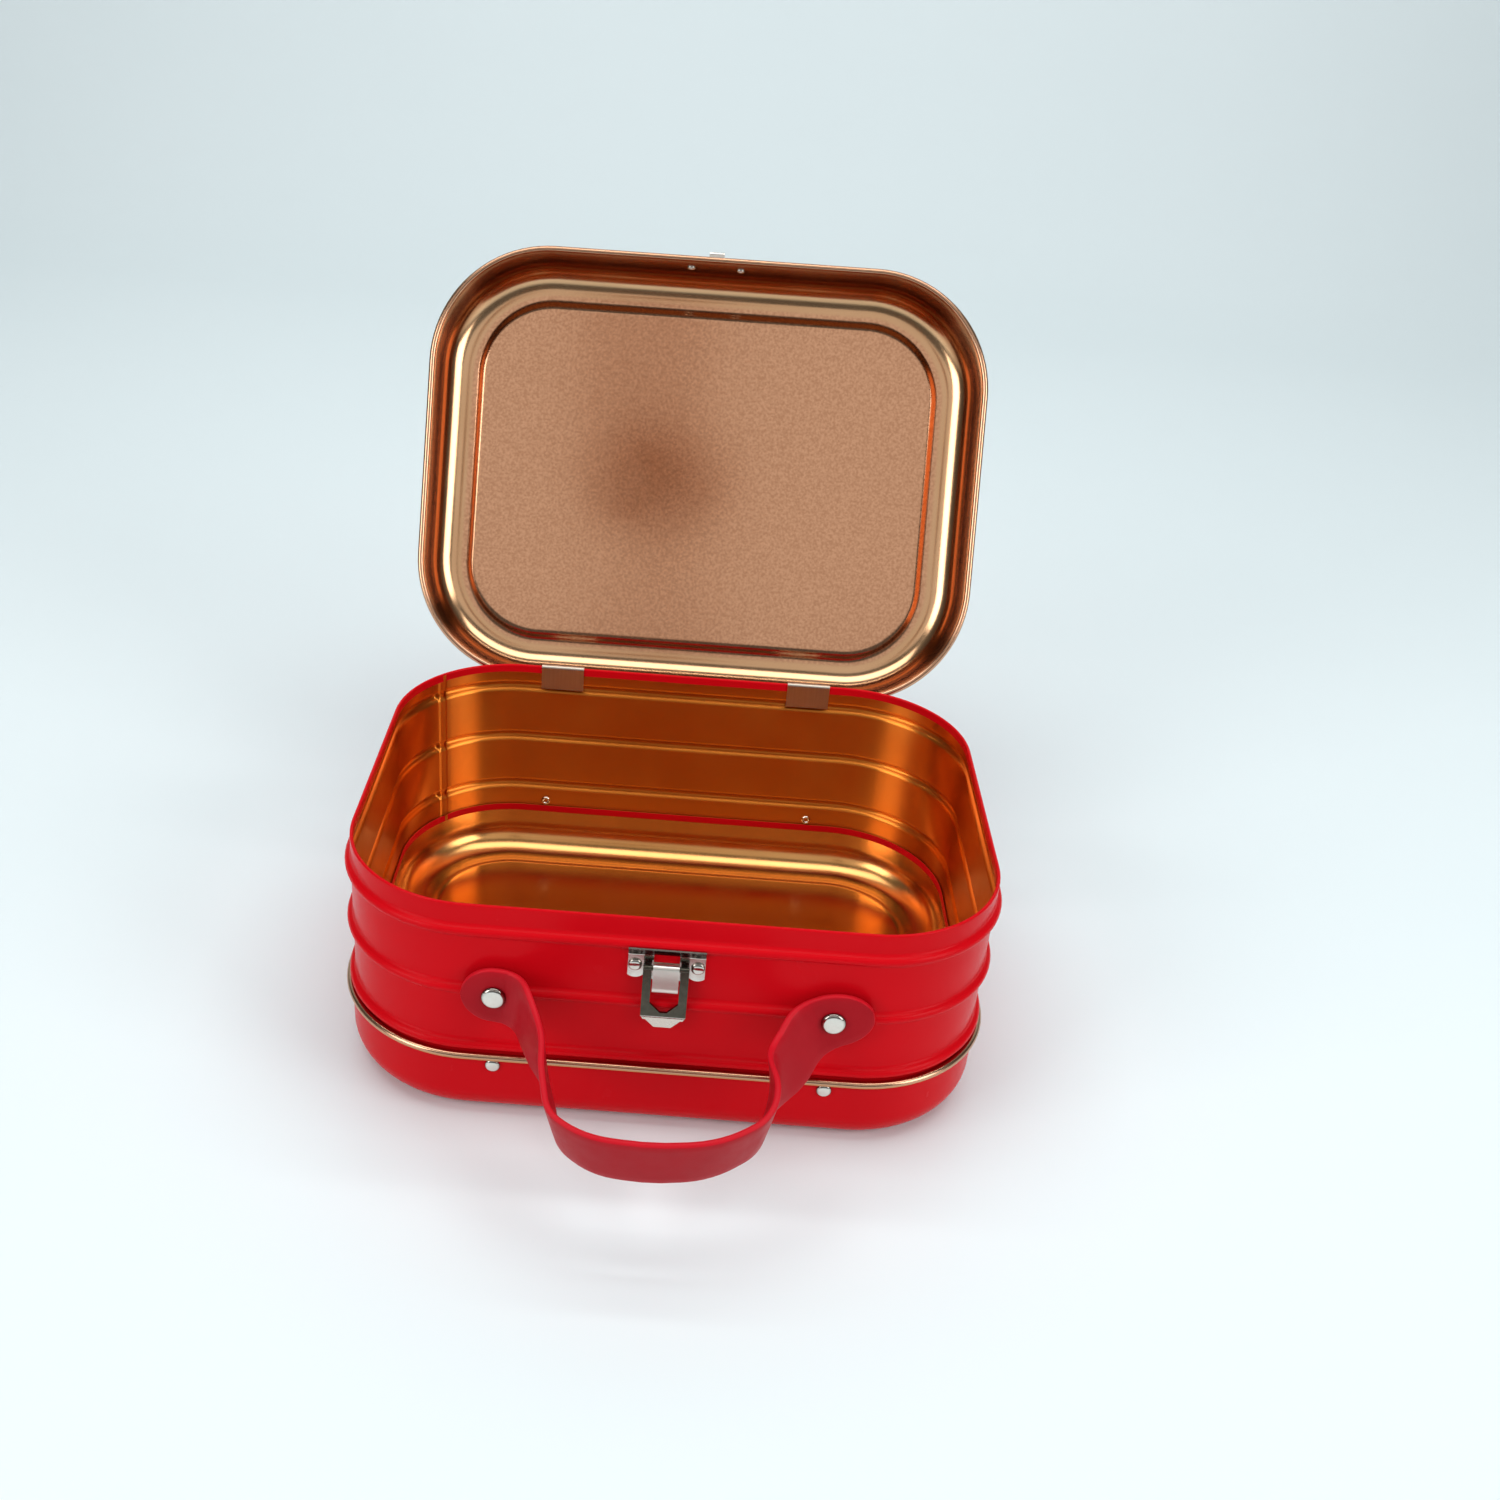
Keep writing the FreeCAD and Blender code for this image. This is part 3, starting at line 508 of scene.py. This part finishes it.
def add_panel(vertices, faces, first, count, values):
    """Fills a ring of vertices with smaller rings down to its centre."""
    edge = [vertices[first + i].copy() for i in range(count)]
    inner = first
    for ring in range(1, PANEL_RINGS):
        share = 1 - ring / PANEL_RINGS
        start = len(vertices)
        for point in edge:
            vertices.append(Vector((point.x * share, point.y * share, point.z)))
        bridge(faces, inner, start, count)
        inner = start
        for key, share in PANEL_VALUES.items():
            values[key].extend([share] * count)
    for key, share in PANEL_VALUES.items():
        values[key].append(share)
    vertices.append(Vector((0, 0, edge[0].z)))
    for i in range(count):
        faces.append((inner + i, inner + (i + 1) % count, len(vertices) - 1))


# ---- side wall ----
WAVE_DEPTH = 0.10 * MM
WAVES_PER_METRE = 22.0
CALM_BY_HEM = 6.0 * MM
SEAM_ANGLE = 136.0
SEAM_HALF_WIDTH = 1.5 * MM
SEAM_RISE = 0.22 * MM
SEAM_EDGE = 0.25 * MM
SEAM_STATIONS = 14
PINCH_START = 0.6 * MM
PINCH_END = 2.6 * MM
PINCH_SHARE = 0.75


def wall_waviness(point, station):
    """Slow unevenness of rolled sheet, none at the hems."""
    calm = smoothstep(point.z, WALL_BOTTOM, WALL_BOTTOM + CALM_BY_HEM)
    calm *= 1 - smoothstep(point.z, RIM_HEIGHT - CALM_BY_HEM, RIM_HEIGHT)
    depth = WAVE_DEPTH * calm * noise.noise(point * WAVES_PER_METRE)
    return point + Vector((station[2], station[3], 0)) * depth


def inner_wall_shape(point, station):
    """Adds the lap seam: a strip that stands in from the wall, with the beads nearly flat there."""
    point = wall_waviness(point, station)
    outward = Vector((station[2], station[3], 0))
    seam_out = Vector((*heading_vector(SEAM_ANGLE), 0))
    if station[2] > 0 or station[3] < 0:
        return point
    away = abs(outward.angle(seam_out)) * CORNER_RADIUS
    lap = 1 - smoothstep(away, SEAM_HALF_WIDTH - SEAM_EDGE, SEAM_HALF_WIDTH + SEAM_EDGE)
    pinch = 1 - smoothstep(away, PINCH_START, PINCH_END)
    beyond = (point - ring_point(station, 0, point.z)).dot(outward)
    return point - outward * (SEAM_RISE * lap + PINCH_SHARE * pinch * max(0.0, beyond))


def bead_moves():
    """Outward bead of three arcs, from wall to wall."""
    lean = 2 * math.degrees(math.atan(BEAD_PROUD / BEAD_HALF_WIDTH))
    radius = BEAD_HALF_WIDTH / (2 * math.sin(math.radians(lean)))
    return [("arc", radius, -lean), ("arc", radius, 2 * lean), ("arc", radius, -lean)]


def wall_path():
    """Section of the wall from the bottom hem over the beads to the top hem."""
    edge = HEM_BEND_RADIUS + SHEET / 2
    level = WALL_BOTTOM + edge
    start = (-SHEET / 2 - 2 * HEM_BEND_RADIUS, level + HEM_LENGTH)
    moves = [("line", HEM_LENGTH), ("arc", HEM_BEND_RADIUS, 180)]
    for height in BEAD_HEIGHTS:
        moves.append(("line", height - BEAD_HALF_WIDTH - level))
        moves += bead_moves()
        level = height + BEAD_HALF_WIDTH
    moves.append(("line", RIM_HEIGHT - edge - level))
    moves += [("arc", HEM_BEND_RADIUS, 180), ("line", HEM_LENGTH)]
    return trace(start, -90, moves, line_steps=5)


def build_side_wall():
    seam_step = SEAM_EDGE * math.degrees(1 / CORNER_RADIUS)
    seam_stations = range(-SEAM_STATIONS, SEAM_STATIONS + 1)
    stations = perimeter(extra=[SEAM_ANGLE + k * seam_step for k in seam_stations])
    path = wall_path()
    outside = skin("wall_outside", path, -1, RED, perimeter(), wall_waviness)
    attach(outside, "box", "red_lacquer", "side_wall")
    inside = skin("wall_inside", path, 1, WALL_GOLD, stations, inner_wall_shape)
    attach(inside, "box", "gold_lacquer")


# ---- bottom pan and lid ----
NOTCH_INSIDE = 2.0 * MM
NOTCH_OUTSIDE = 6.0 * MM
NOTCH_BELOW_RIM = 3.0 * MM


def pan_path():
    """Section of the pan from its panel over the foot ring and the wall to the curl."""
    slope_start = FOOT_RING_INSET + PANEL_SLOPE_WIDTH
    lean = 2 * math.degrees(math.atan(PANEL_RISE / PANEL_SLOPE_WIDTH))
    slope_radius = PANEL_SLOPE_WIDTH / (2 * math.sin(math.radians(lean)))
    edge_radius = PAN_EDGE_RADIUS - SHEET / 2
    wall_line = PAN_CLEARANCE + SHEET / 2
    moves = [
        ("line", PANEL_LAP),
        ("arc", slope_radius, -lean),
        ("arc", slope_radius, lean),
        ("line", FOOT_RING_INSET + wall_line - edge_radius),
        ("arc", edge_radius, 90),
        ("line", PAN_DEPTH - PAN_EDGE_RADIUS),
        ("arc", CURL_RADIUS, -CURL_TURN),
    ]
    start = (-slope_start - PANEL_LAP, PANEL_RISE + SHEET / 2)
    return trace(start, 0, moves, line_steps=3, arc_step=6.0)


def pan_skins(name, gold):
    """Red and gold skins of one pressing, standing on its foot ring."""
    path = pan_path()
    outside = skin(name + "_outside", path, -1, RED, perimeter(), with_panel=True)
    inside = skin(name + "_inside", path, 1, gold, perimeter(), with_panel=True)
    return outside, inside


def build_bottom_pan():
    outside, inside = pan_skins("pan", PAN_GOLD)
    attach(outside, "box", "red_lacquer", "bottom_pan")
    attach(inside, "box", "gold_lacquer")


def hinge_centres():
    """X of each hinge and the width of its leaves."""
    found = []
    for side in ("left", "right"):
        low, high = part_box("hinge_body_leaf_" + side)
        found.append(((low.x + high.x) / 2, high.x - low.x))
    return found


def cut_boxes(obj, boxes):
    """Cuts axis-aligned boxes out of a closed mesh."""
    for low, high in boxes:
        cutter = box_object(low, high)
        modifier = obj.modifiers.new("cut", "BOOLEAN")
        modifier.object = cutter
        modifier.operation = "DIFFERENCE"
        modifier.solver = "EXACT"
        bpy.context.view_layer.objects.active = obj
        bpy.ops.object.modifier_apply(modifier="cut")
        bpy.data.objects.remove(cutter)
    tidy_mesh(obj)


def box_object(low, high):
    work = bmesh.new()
    bmesh.ops.create_cube(work, size=1.0)
    size, centre = high - low, (high + low) / 2
    for vertex in work.verts:
        vertex.co = centre + Vector([a * b for a, b in zip(vertex.co, size)])
    mesh = bpy.data.meshes.new("cutter")
    work.to_mesh(mesh)
    work.free()
    obj = bpy.data.objects.new("cutter", mesh)
    bpy.context.scene.collection.objects.link(obj)
    return obj


def build_lid():
    """The pan's pressing turned over, notched for the hinges while closed, then opened."""
    top = max((TO_CLOSED @ v.co).z for v in frame["nodes"]["lid_shell"].data.vertices)
    rim = top - PAN_DEPTH
    place = Matrix.Translation((0, 0, top)) @ Matrix.Rotation(math.pi, 4, "X")
    notches = []
    for x, width in hinge_centres():
        half = width / 2 + NOTCH_SIDE_GAP
        low = Vector((x - half, HALF_Y - NOTCH_INSIDE, rim - NOTCH_BELOW_RIM))
        high = Vector((x + half, HALF_Y + NOTCH_OUTSIDE, rim + NOTCH_ABOVE_RIM))
        notches.append((low, high))
    outside, inside = pan_skins("lid", LID_GOLD)
    for obj in (outside, inside):
        obj.data.transform(place)
        cut_boxes(obj, notches)
        obj.data.transform(TO_OPEN)
    attach(outside, "lid", "red_lacquer", "lid_shell")
    attach(inside, "lid", "gold_lacquer")


# ---- rivets ----
TURNED_STEPS = 56
SHOULDER_STEPS = 7
TAIL_STEPS = 8
# How dark the painted shade on a rivet head's shoulder gets.
RIM_PAINTED_SHADE_SHARE = 0.85
HANDLE_RIVET = {
    "flat_share": 0.62, "shank": 1.5 * MM, "tail": 2.4 * MM, "tail_rise": 0.8 * MM, "dome": 1.5 * MM,
}
LATCH_RIVET = {
    "flat_share": 0.20, "shank": 1.0 * MM, "tail": 1.6 * MM, "tail_rise": 0.7 * MM, "dome": 1.0 * MM,
}
CATCH_RIVET = {
    "flat_share": 0.20, "shank": 1.0 * MM, "tail": 1.6 * MM, "tail_rise": 0.7 * MM, "dome": 0.8 * MM,
}
PAN_RIVET = {
    "flat_share": 0.15, "shank": 1.2 * MM, "tail": 1.8 * MM, "tail_rise": 0.7 * MM, "dome": 1.2 * MM,
}


def lathe(name, profile, material, centre, out):
    """Turned solid from (radius, height) points, its height pointing along the direction out."""
    vertices, faces, rim = [], [], []
    head_radius = max(radius for radius, height in profile if height > 0)
    for radius, height in profile:
        # Painted shade grows towards the head's edge.
        painted_shade = RIM_PAINTED_SHADE_SHARE * smoothstep(radius, 0.70 * head_radius, 0.98 * head_radius)
        rim += [painted_shade] * TURNED_STEPS
        for i in range(TURNED_STEPS):
            angle = 2 * math.pi * i / TURNED_STEPS
            vertices.append(Vector((radius * math.cos(angle), radius * math.sin(angle), height)))
    for j in range(len(profile) - 1):
        bridge(faces, j * TURNED_STEPS, (j + 1) * TURNED_STEPS, TURNED_STEPS)
    turn = Vector((0, 0, 1)).rotation_difference(out).to_matrix().to_4x4()
    place = Matrix.Translation(centre) @ turn
    return make_object(name, [place @ v for v in vertices], faces, material, {"rim": rim})


def rivet_profile(head_radius, back, flat_share, shank, tail, tail_rise, dome):
    """Head with a gently crowned middle and a rounded shoulder, a shank and a rolled tail."""
    flat = head_radius * flat_share
    shoulder = dome * 0.95
    lip = dome * 0.22
    points = [(0.0, dome), (flat * 0.5, dome * 0.99), (flat, shoulder)]
    for k in range(1, SHOULDER_STEPS + 1):
        angle = math.pi / 2 * k / SHOULDER_STEPS
        across = flat + (head_radius - flat) * math.sin(angle)
        points.append((across, lip + (shoulder - lip) * math.cos(angle)))
    points += [(head_radius * 0.985, 0.0), (shank, 0.0), (shank, -back), (tail * 0.8, -back)]
    hollow = shank * 0.55
    for k in range(TAIL_STEPS + 1):
        angle = math.pi * k / TAIL_STEPS
        middle, half = (tail + hollow) / 2, (tail - hollow) / 2
        points.append((middle + half * math.cos(angle), -back - tail_rise * math.sin(angle)))
    hollow_floor = -back + 0.1 * MM
    points += [(shank * 0.45, hollow_floor), (0.0, hollow_floor)]
    return points


def build_rivet(node, body, kind, to_level=Matrix.Identity(4)):
    """Rivet in the place of a CAD rivet, which lies along Y once to_level has turned it."""
    vertices = [to_level @ v.co for v in frame["nodes"][node].data.vertices]
    low = Vector([min(v[a] for v in vertices) for a in range(3)])
    high = Vector([max(v[a] for v in vertices) for a in range(3)])
    head_out = -1 if (low + high).y < 0 else 1
    head_face = low.y + kind["dome"] if head_out < 0 else high.y - kind["dome"]
    back = (high.y - low.y) - kind["dome"] - kind["tail_rise"]
    centre = Vector(((low.x + high.x) / 2, head_face, (low.z + high.z) / 2))
    profile = rivet_profile((high.x - low.x) / 2, back, **kind)
    obj = lathe(node + "_turned", profile, NICKEL, centre, Vector((0, head_out, 0)))
    obj.data.transform(to_level.inverted())
    attach(obj, body, "nickel_plate", node)


def build_rivets():
    for side in ("left", "right"):
        build_rivet("handle_rivet_" + side, "box", HANDLE_RIVET)
        build_rivet("latch_rivet_" + side, "box", LATCH_RIVET)
        build_rivet("catch_rivet_" + side, "lid", CATCH_RIVET, TO_CLOSED)
        for end in ("front", "rear"):
            build_rivet(f"pan_rivet_{end}_{side}", "box", PAN_RIVET)


# ---- strap handle ----
# The route in millimetres: x along the hinge line and the reach away from the wall.
STRAP_ROUTE = [
    (-50.0, 0.0), (-43.4, 0.0), (-33.2, 20.8), (-28.2, 42.6), (-19.0, 49.8), (0.0, 51.4),
    (17.6, 48.6), (31.2, 39.2), (33.0, 19.0), (43.6, 0.0), (50.0, 0.0),
]
STRAP_RADII = [9.0, 30.0, 11.0, 26.0, 70.0, 34.0, 14.0, 24.0, 9.0]
STRAP_CROWN = 0.072 * MM
STRAP_EDGE_RADIUS = 0.75 * MM
FACE_SPANS = 8
EDGE_SPANS = 6
RIM_START = 0.86
# How far the face borders take the edge paint and painted highlight.
RIM_PAINT_AND_HIGHLIGHT_SHARE = 0.4
GROOVE_PLACE = 0.88
GROOVE_HALF_WIDTH = 0.03
GROOVE_DEPTH = 0.10 * MM
END_STEPS = 12
END_ROUNDING = 0.985

# Creases across the ends, by their distance from the middle plane.
CREASES = (43.6 * MM, 45.0 * MM, 46.6 * MM)
CREASE_DEPTH = 0.16 * MM
CREASE_WIDTH = 0.32 * MM
CREASE_FADE = (3 * MM, 6 * MM)

# The ends slant about their rivets and the bow tapers, left (-1) and right (1). Each pair of
# reaches is where a change starts and where it is complete.
STRAP_END_SLANT = {-1: math.radians(5.0), 1: math.radians(30.0)}
STRAP_BOW_TAPER = {-1: math.radians(11.0), 1: math.radians(8.0)}
DROOP_REACHES = (0, 15 * MM)
WIDTH_DROOP_REACHES = (0, 50 * MM)
SLANT_REACHES = (8 * MM, 32 * MM)
TAPER_REACHES = (12 * MM, 32 * MM)
SAG_REACHES = (8 * MM, 34 * MM)
ARM_X = 26 * MM
ARM_LENGTH = 11 * MM


def route_moves(points, radii):
    """Heading and moves of a line through points with its inner corners rounded."""
    moves = []
    used = 0.0
    first = None
    for i in range(len(points) - 1):
        run = (points[i + 1][0] - points[i][0], points[i + 1][1] - points[i][1])
        bearing = math.degrees(math.atan2(run[1], run[0]))
        first = bearing if first is None else first
        turn, trim = 0.0, 0.0
        if i < len(points) - 2:
            after = (points[i + 2][0] - points[i + 1][0], points[i + 2][1] - points[i + 1][1])
            turn = (math.degrees(math.atan2(after[1], after[0])) - bearing + 180) % 360 - 180
            trim = radii[i] * math.tan(math.radians(abs(turn) / 2))
        moves.append(("line", math.hypot(*run) - used - trim))
        if turn:
            moves.append(("arc", radii[i], turn))
        used = trim
    return first, moves


def strap_section(half_width):
    """Points (across, through, edge share) of the strap's cross-section, soft at its edges; the edge
    share lays on edge paint and a painted highlight.
    """
    half = STRAP_THICKNESS / 2
    radius = min(STRAP_EDGE_RADIUS, half_width * 0.9)
    points = []
    for face in (1, -1):
        for k in range(FACE_SPANS + 1):
            across = face * (half_width - radius) * (1 - 2 * k / FACE_SPANS)
            share = across / half_width
            rim = max(0.0, abs(share) - RIM_START) / (1 - RIM_START)
            in_groove = abs(abs(share) - GROOVE_PLACE) <= GROOVE_HALF_WIDTH
            groove = GROOVE_DEPTH if in_groove else 0.0
            through = half - groove - STRAP_CROWN * share**2
            points.append((across, face * through, rim * RIM_PAINT_AND_HIGHLIGHT_SHARE))
        for k in range(1, EDGE_SPANS):
            angle = math.pi * k / EDGE_SPANS
            across = face * (-(half_width - radius) - radius * math.sin(angle))
            points.append((across, face * (half - STRAP_CROWN) * math.cos(angle), 1.0))
    return points


def round_end(hand, rivet_x):
    """Rows of a half-round end, from its rivet outward."""
    rows = []
    for k in range(1, END_STEPS + 1):
        angle = math.pi / 2 * END_ROUNDING * k / END_STEPS
        x = hand * (rivet_x + STRAP_WIDTH / 2 * math.sin(angle))
        rows.append((x, 0.0, 0.0, 1.0, math.cos(angle)))
    return rows


def strap_directions(x, reach):
    """The way out from the wall and the way across the strap, at one row."""
    droop = STRAP_DROOP * smoothstep(reach, *DROOP_REACHES)
    outward = Vector((0, -math.cos(droop), -math.sin(droop)))
    hand = 1 if x > 0 else -1
    slant = STRAP_END_SLANT[hand] * (1 - smoothstep(reach, *SLANT_REACHES))
    taper = STRAP_BOW_TAPER[hand] * smoothstep(reach, *TAPER_REACHES)
    lean = max(-1.0, min(1.0, x / ARM_X)) * (taper - slant)
    width_droop = STRAP_DROOP * smoothstep(reach, *WIDTH_DROOP_REACHES)
    across = Vector((math.sin(lean), -math.sin(width_droop), math.cos(lean))).normalized()
    return outward, across


def strap_middle(x, reach, rivet_x, outward):
    """Middle of the strap at one row: its ends turn about the rivets by their slant."""
    slant = STRAP_END_SLANT[1 if x > 0 else -1]
    inward = min(rivet_x - abs(x), ARM_LENGTH)
    sag = inward * math.sin(slant) * (1 - smoothstep(reach, *SAG_REACHES))
    shift = math.copysign(min(0.0, inward) * (1 - math.cos(slant)), x)
    return Vector((x + shift, HANDLE_AXIS_Y, HANDLE_AXIS_Z - sag)) + outward * reach


def crease_depth(x, reach):
    """How far the creases across an end press its outer face in."""
    depth = sum(math.exp(-((abs(x) - place) / CREASE_WIDTH) ** 2) for place in CREASES)
    return CREASE_DEPTH * depth * (1 - smoothstep(reach, *CREASE_FADE))


def build_strap():
    """One continuous strap: two round ends on the rivets and the bow, whose route is level."""
    route = [(x * MM, reach * MM) for x, reach in STRAP_ROUTE]
    heading, moves = route_moves(route, [r * MM for r in STRAP_RADII])
    path = trace(route[0], heading, moves, line_steps=8, arc_step=5.0)
    rivet_x = -route[0][0]
    rows = round_end(-1, rivet_x)[::-1] + [(*point, 1.0) for point in path] + round_end(1, rivet_x)
    vertices, edge_paint_and_highlight = [], []
    for x, reach, normal_x, normal_out, width_share in rows:
        outward, across_way = strap_directions(x, reach)
        middle = strap_middle(x, reach, rivet_x, outward)
        through_way = Vector((normal_x, 0, 0)) + outward * normal_out
        dent = crease_depth(x, reach)
        for across, through, edge in strap_section(STRAP_WIDTH / 2 * width_share):
            lift = through - dent if through > 0 else through
            vertices.append(middle + across_way * across + through_way * lift)
            edge_paint_and_highlight.append(edge)
    per_row = len(vertices) // len(rows)
    faces = []
    for j in range(len(rows) - 1):
        bridge(faces, j * per_row, (j + 1) * per_row, per_row)
    faces.append(tuple(range(per_row)))
    faces.append(tuple(range(len(vertices) - per_row, len(vertices))))
    strap = make_object("strap", vertices, faces, STRAP_RED, {"edge": edge_paint_and_highlight})
    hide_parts("handle_strap", "handle_strap_end_left", "handle_strap_end_right")
    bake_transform(strap)


# ---- pressed hardware kept from the frame ----
BEVEL_ABOVE_ANGLE = math.radians(40.0)


def finish_node(name, material, bevel):
    """Gives a kept CAD node its material and small rolled edges."""
    obj = frame["nodes"][name]
    obj.data.materials.clear()
    obj.data.materials.append(material)
    modifier = obj.modifiers.new("edges", "BEVEL")
    modifier.width = bevel
    modifier.segments = 2
    modifier.limit_method = "ANGLE"
    modifier.angle_limit = BEVEL_ABOVE_ANGLE
    modifier.harden_normals = True


def finish_hardware():
    finish_node("lid_catch", NICKEL, 0.12 * MM)
    finish_node("latch_base_plate", PLATE_NICKEL_PAINTED_DARK_FLANGE, 0.12 * MM)
    finish_node("latch_spring_tongue", SATIN_NICKEL, 0.12 * MM)
    finish_node("latch_hasp", HASP_NICKEL_PAINTED_DARK, 0.15 * MM)
    for side in ("left", "right"):
        finish_node("hinge_body_leaf_" + side, HINGE_STEEL, 0.08 * MM)
        finish_node("hinge_lid_leaf_" + side, HINGE_STEEL, 0.08 * MM)
        finish_node("hinge_pin_" + side, NICKEL, 0.10 * MM)
        finish_node("handle_rivet_washer_" + side, NICKEL, 0.10 * MM)


# ---- studio ----
# The camera is fitted to edges of the object in the photo. Angles are in radians, the sensor and
# the lens in millimetres.
CAMERA_PLACE = Vector((-2.93, -442.82, 346.74)) * MM
CAMERA_YAW = -0.012
CAMERA_PITCH = 0.533
CAMERA_ROLL = 0.068
SENSOR = 36.0
LENS = 37.9
SHIFT = (0.0633, 0.010)
NEAREST_SEEN = 0.01

FLOOR_HALF_WIDTH = 2.6
FLOOR_FRONT = -1.6
FLOOR_BEND = 0.9
FLOOR_BEND_RADIUS = 0.7
FLOOR_BEND_STEPS = 12
WALL_TOP = 2.4
ROOM_STRENGTH = 0.14


def build_camera():
    forward = Vector((
        math.sin(CAMERA_YAW) * math.cos(CAMERA_PITCH),
        math.cos(CAMERA_YAW) * math.cos(CAMERA_PITCH),
        -math.sin(CAMERA_PITCH),
    ))
    level = Vector((math.cos(CAMERA_YAW), -math.sin(CAMERA_YAW), 0))
    upright = level.cross(forward)
    right = level * math.cos(CAMERA_ROLL) + upright * math.sin(CAMERA_ROLL)
    up = upright * math.cos(CAMERA_ROLL) - level * math.sin(CAMERA_ROLL)
    data = bpy.data.cameras.new("camera")
    data.sensor_width = SENSOR
    data.lens = LENS
    data.shift_x, data.shift_y = SHIFT
    data.clip_start = NEAREST_SEEN
    camera = bpy.data.objects.new("camera", data)
    turn = Matrix((right, up, -forward)).transposed().to_4x4()
    camera.matrix_world = Matrix.Translation(CAMERA_PLACE) @ turn
    bpy.context.scene.collection.objects.link(camera)
    bpy.context.scene.camera = camera


def build_backdrop():
    """Pale floor that sweeps up into a wall far behind."""
    line = [(FLOOR_FRONT, 0.0), (FLOOR_BEND, 0.0)]
    for k in range(1, FLOOR_BEND_STEPS + 1):
        angle = math.pi / 2 * k / FLOOR_BEND_STEPS
        rise = FLOOR_BEND_RADIUS * (1 - math.cos(angle))
        line.append((FLOOR_BEND + FLOOR_BEND_RADIUS * math.sin(angle), rise))
    line.append((FLOOR_BEND + FLOOR_BEND_RADIUS, WALL_TOP))
    vertices = [(x, y, z) for y, z in line for x in (-FLOOR_HALF_WIDTH, FLOOR_HALF_WIDTH)]
    faces = [(2 * k, 2 * k + 1, 2 * k + 3, 2 * k + 2) for k in range(len(line) - 1)]
    mesh = bpy.data.meshes.new("floor")
    mesh.from_pydata(vertices, [], faces)
    mesh.shade_smooth()
    mesh.materials.append(floor_white())
    floor = bpy.data.objects.new("floor", mesh)
    bpy.context.scene.collection.objects.link(floor)


def area_light(name, place, target, size, power):
    """White rectangular light at a place, turned to a target; power in watts."""
    data = bpy.data.lights.new(name, "AREA")
    data.shape = "RECTANGLE"
    data.size, data.size_y = size
    data.energy = power
    lamp = bpy.data.objects.new(name, data)
    aim = Vector(target) - Vector(place)
    lamp.matrix_world = Matrix.Translation(place) @ aim.to_track_quat("-Z", "Y").to_matrix().to_4x4()
    bpy.context.scene.collection.objects.link(lamp)


def dark_shape(name, place, radii, cover):
    """Brown, partly clear egg shape by the camera that only shiny surfaces see."""
    mesh = bpy.data.meshes.new(name)
    work = bmesh.new()
    bmesh.ops.create_uvsphere(work, u_segments=32, v_segments=20, radius=1.0)
    bmesh.ops.scale(work, vec=radii, verts=work.verts)
    bmesh.ops.translate(work, vec=place, verts=work.verts)
    work.to_mesh(mesh)
    work.free()
    dark = Surface(name, Roughness=0.9, Specular_IOR_Level=0.1, Alpha=cover)
    mesh.materials.append(dark.finish(CAMERA_BROWN))
    obj = bpy.data.objects.new(name, mesh)
    bpy.context.scene.collection.objects.link(obj)
    obj.visible_camera = False
    obj.visible_diffuse = False
    obj.visible_shadow = False


def build_light():
    """Soft lights, and the shapes by the camera that make the dark reflection in the lid."""
    area_light("overhead", (0, -0.12, 1.20), (0, 0, 0), size=(1.5, 0.5), power=7.1)
    area_light("left_window", (-0.94, -0.72, 0.60), (0, 0, 0.06), size=(0.62, 0.80), power=6.8)
    area_light("right_window", (1.00, -0.60, 0.60), (0, 0, 0.06), size=(0.62, 0.80), power=6.8)
    area_light("front_softbox", (0, -0.95, 0.85), (0, 0.12, 0.14), size=(1.3, 0.70), power=1.80)
    area_light("backdrop_light", (0, 0.62, 1.75), (0, 1.6, 0.75), size=(2.4, 0.3), power=14.5)
    dark_shape("camera_body", (-0.034, -0.470, 0.490), (0.058, 0.03, 0.047), cover=0.56)
    dark_shape("camera_shade", (-0.055, -0.560, 0.690), (0.060, 0.03, 0.150), cover=0.20)
    dark_shape("camera_support", (-0.030, -0.560, 0.340), (0.060, 0.03, 0.150), cover=0.12)


def build_room():
    """Faint light from all round, and colours shown as they are."""
    world = bpy.data.worlds.new("studio")
    world.use_nodes = True
    background = world.node_tree.nodes["Background"]
    background.inputs["Color"].default_value = ROOM_WHITE
    background.inputs["Strength"].default_value = ROOM_STRENGTH
    bpy.context.scene.world = world
    bpy.context.scene.view_settings.view_transform = "Standard"


build_camera()
build_side_wall()
build_bottom_pan()
build_lid()
build_rivets()
build_strap()
finish_hardware()
build_backdrop()
build_light()
build_room()
